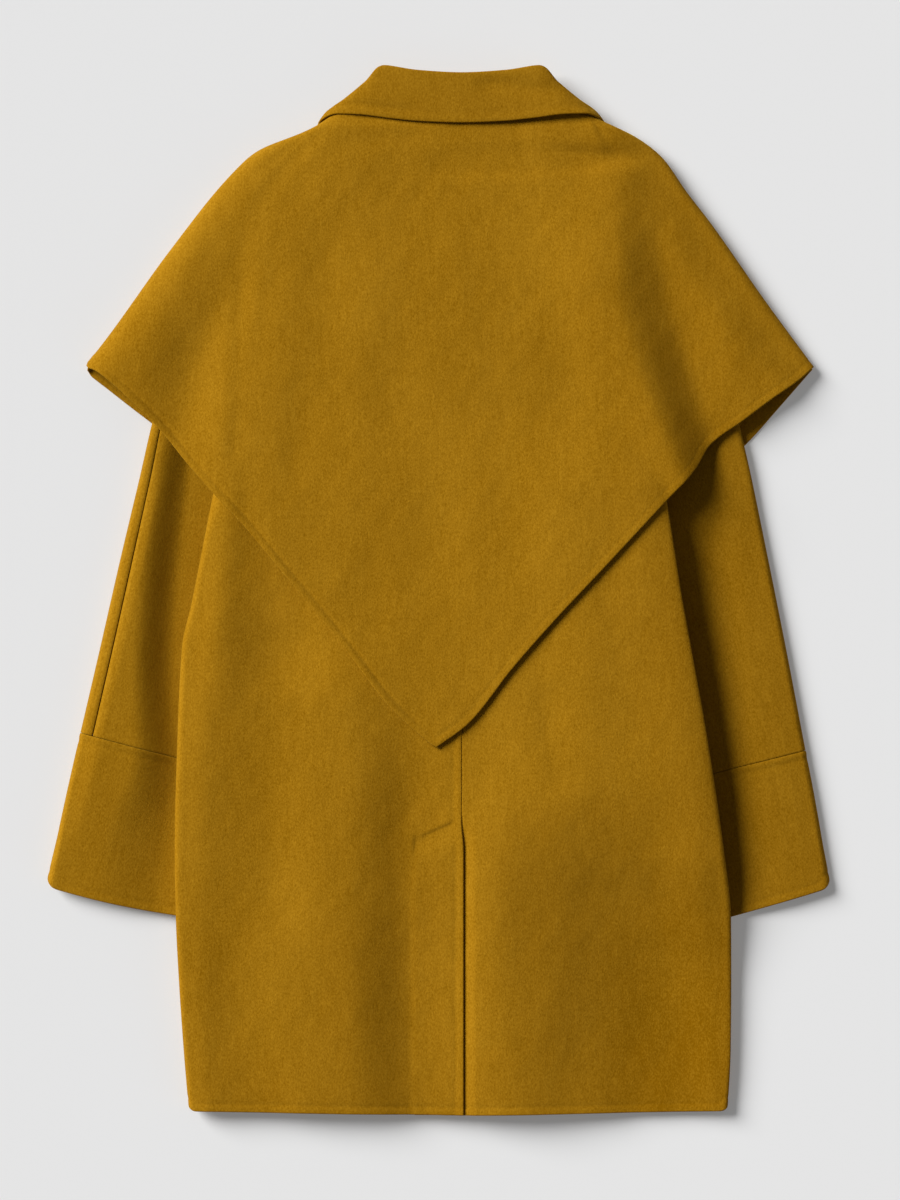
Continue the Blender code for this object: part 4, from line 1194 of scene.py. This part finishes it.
rows = steps((0, 12), (0.03, 150), (0.963, 18), (0.995, 1), (1, 1))
columns = steps((-1, 10), (0, 168), (1, 14), (2, 1))[::-1]
piece = cloth(
    "cape_back_piece",
    cape_back,
    columns,
    rows,
    hems={"v1": lambda x: 1.8 - 1.35 * smooth((x + 10) / 30)},
)
dress(piece, WOOL_BODY, "cape_back")
for side, word, cut in ((-1, "left", (0.38, 0.485, 0.113)), (1, "right", (0.36, 0.485, 0.108))):
    columns = steps((0, 6), (1, 50), (2, 1))
    rows = steps((0, 60), (1, 1))
    piece = cloth(word + "_cape_front", lambda u, v, s=side: cape_front(s, u, v), columns, rows)
    dress(piece, WOOL_BODY, "cape_front_" + word)
columns, rows = steps((0, 44), (1, 1)), steps((-10, 240), (10, 1))
piece = cloth("collar_piece", collar, columns, rows, hems={"u1": even(0.8)})
dress(piece, WOOL_COLLAR_PAINTED_SHADE, "collar")


# Floor, light and camera.
def stage_floor():
    """A pale floor just under the coat, 12 m square. It also glows a little: painted light that
    lifts the shadows on it.
    """
    mesh = bpy.data.meshes.new("floor")
    corners = [(x, y, -0.0003) for x, y in ((-6, -6), (6, -6), (6, 6), (-6, 6))]
    mesh.from_pydata(corners, [], [(0, 1, 2, 3)])
    floor = bpy.data.objects.new("floor", mesh)
    bpy.context.scene.collection.objects.link(floor)
    made, start = new_material("pale_floor")
    plain = start.add("BsdfDiffuse", {}, {"Color": (0.63, 0.63, 0.63, 1)})
    # The floor glows: painted light that lifts its shadows and lights the coat from below.
    glow = start.add("Emission", {}, {"Color": (1, 1, 1, 1), "Strength": 0.15})
    finish_material(start, start.add("AddShader", {}, {0: plain, 1: glow}))
    mesh.materials.append(made)


def sun(name, azimuth, elevation, share, angle):
    """A lamp as bright on the floor as this share of full light, as wide as this angle. Azimuth is
    measured from +X towards +Y. All angles are in degrees."""
    lamp = bpy.data.lights.new(name, "SUN")
    lamp.energy = np.pi * share / np.sin(np.radians(elevation))
    lamp.angle = np.radians(angle)
    made = bpy.data.objects.new(name, lamp)
    a, e = np.radians(azimuth), np.radians(elevation)
    towards = Vector((np.cos(a) * np.cos(e), np.sin(a) * np.cos(e), np.sin(e)))
    made.rotation_euler = towards.to_track_quat("Z", "Y").to_euler()
    bpy.context.scene.collection.objects.link(made)


SKY_LIGHT, BACKDROP = 0.11, 0.78  # brightness of the surroundings to the coat and to the camera

stage_floor()
sun("key", azimuth=147, elevation=29.5, share=0.875, angle=34)
sun("bounce", azimuth=-33, elevation=8, share=0.015, angle=40)
world = bpy.data.worlds.new("studio")
bpy.context.scene.world = world
world.use_nodes = True
world.node_tree.nodes.clear()
air = Wire(world.node_tree)
ray = air.add("LightPath", output="Is Camera Ray")
strength = SKY_LIGHT + ray * (BACKDROP - SKY_LIGHT)
lit = air.add("Background", {}, {"Color": (1, 1, 1, 1), "Strength": strength})
output = world.node_tree.nodes.new("ShaderNodeOutputWorld")
world.node_tree.links.new(lit.socket, output.inputs["Surface"])

view = bpy.data.cameras.new("camera")
view.sensor_fit, view.sensor_height, view.sensor_width = "VERTICAL", 24, 18
view.lens = 120
view.clip_end = 40
camera = bpy.data.objects.new("camera", view)
camera.location = (0.011, -0.011, 6.02)
bpy.context.scene.collection.objects.link(camera)
bpy.context.scene.camera = camera
bpy.context.scene.view_settings.view_transform = "Standard"

bpy.context.view_layer.update()
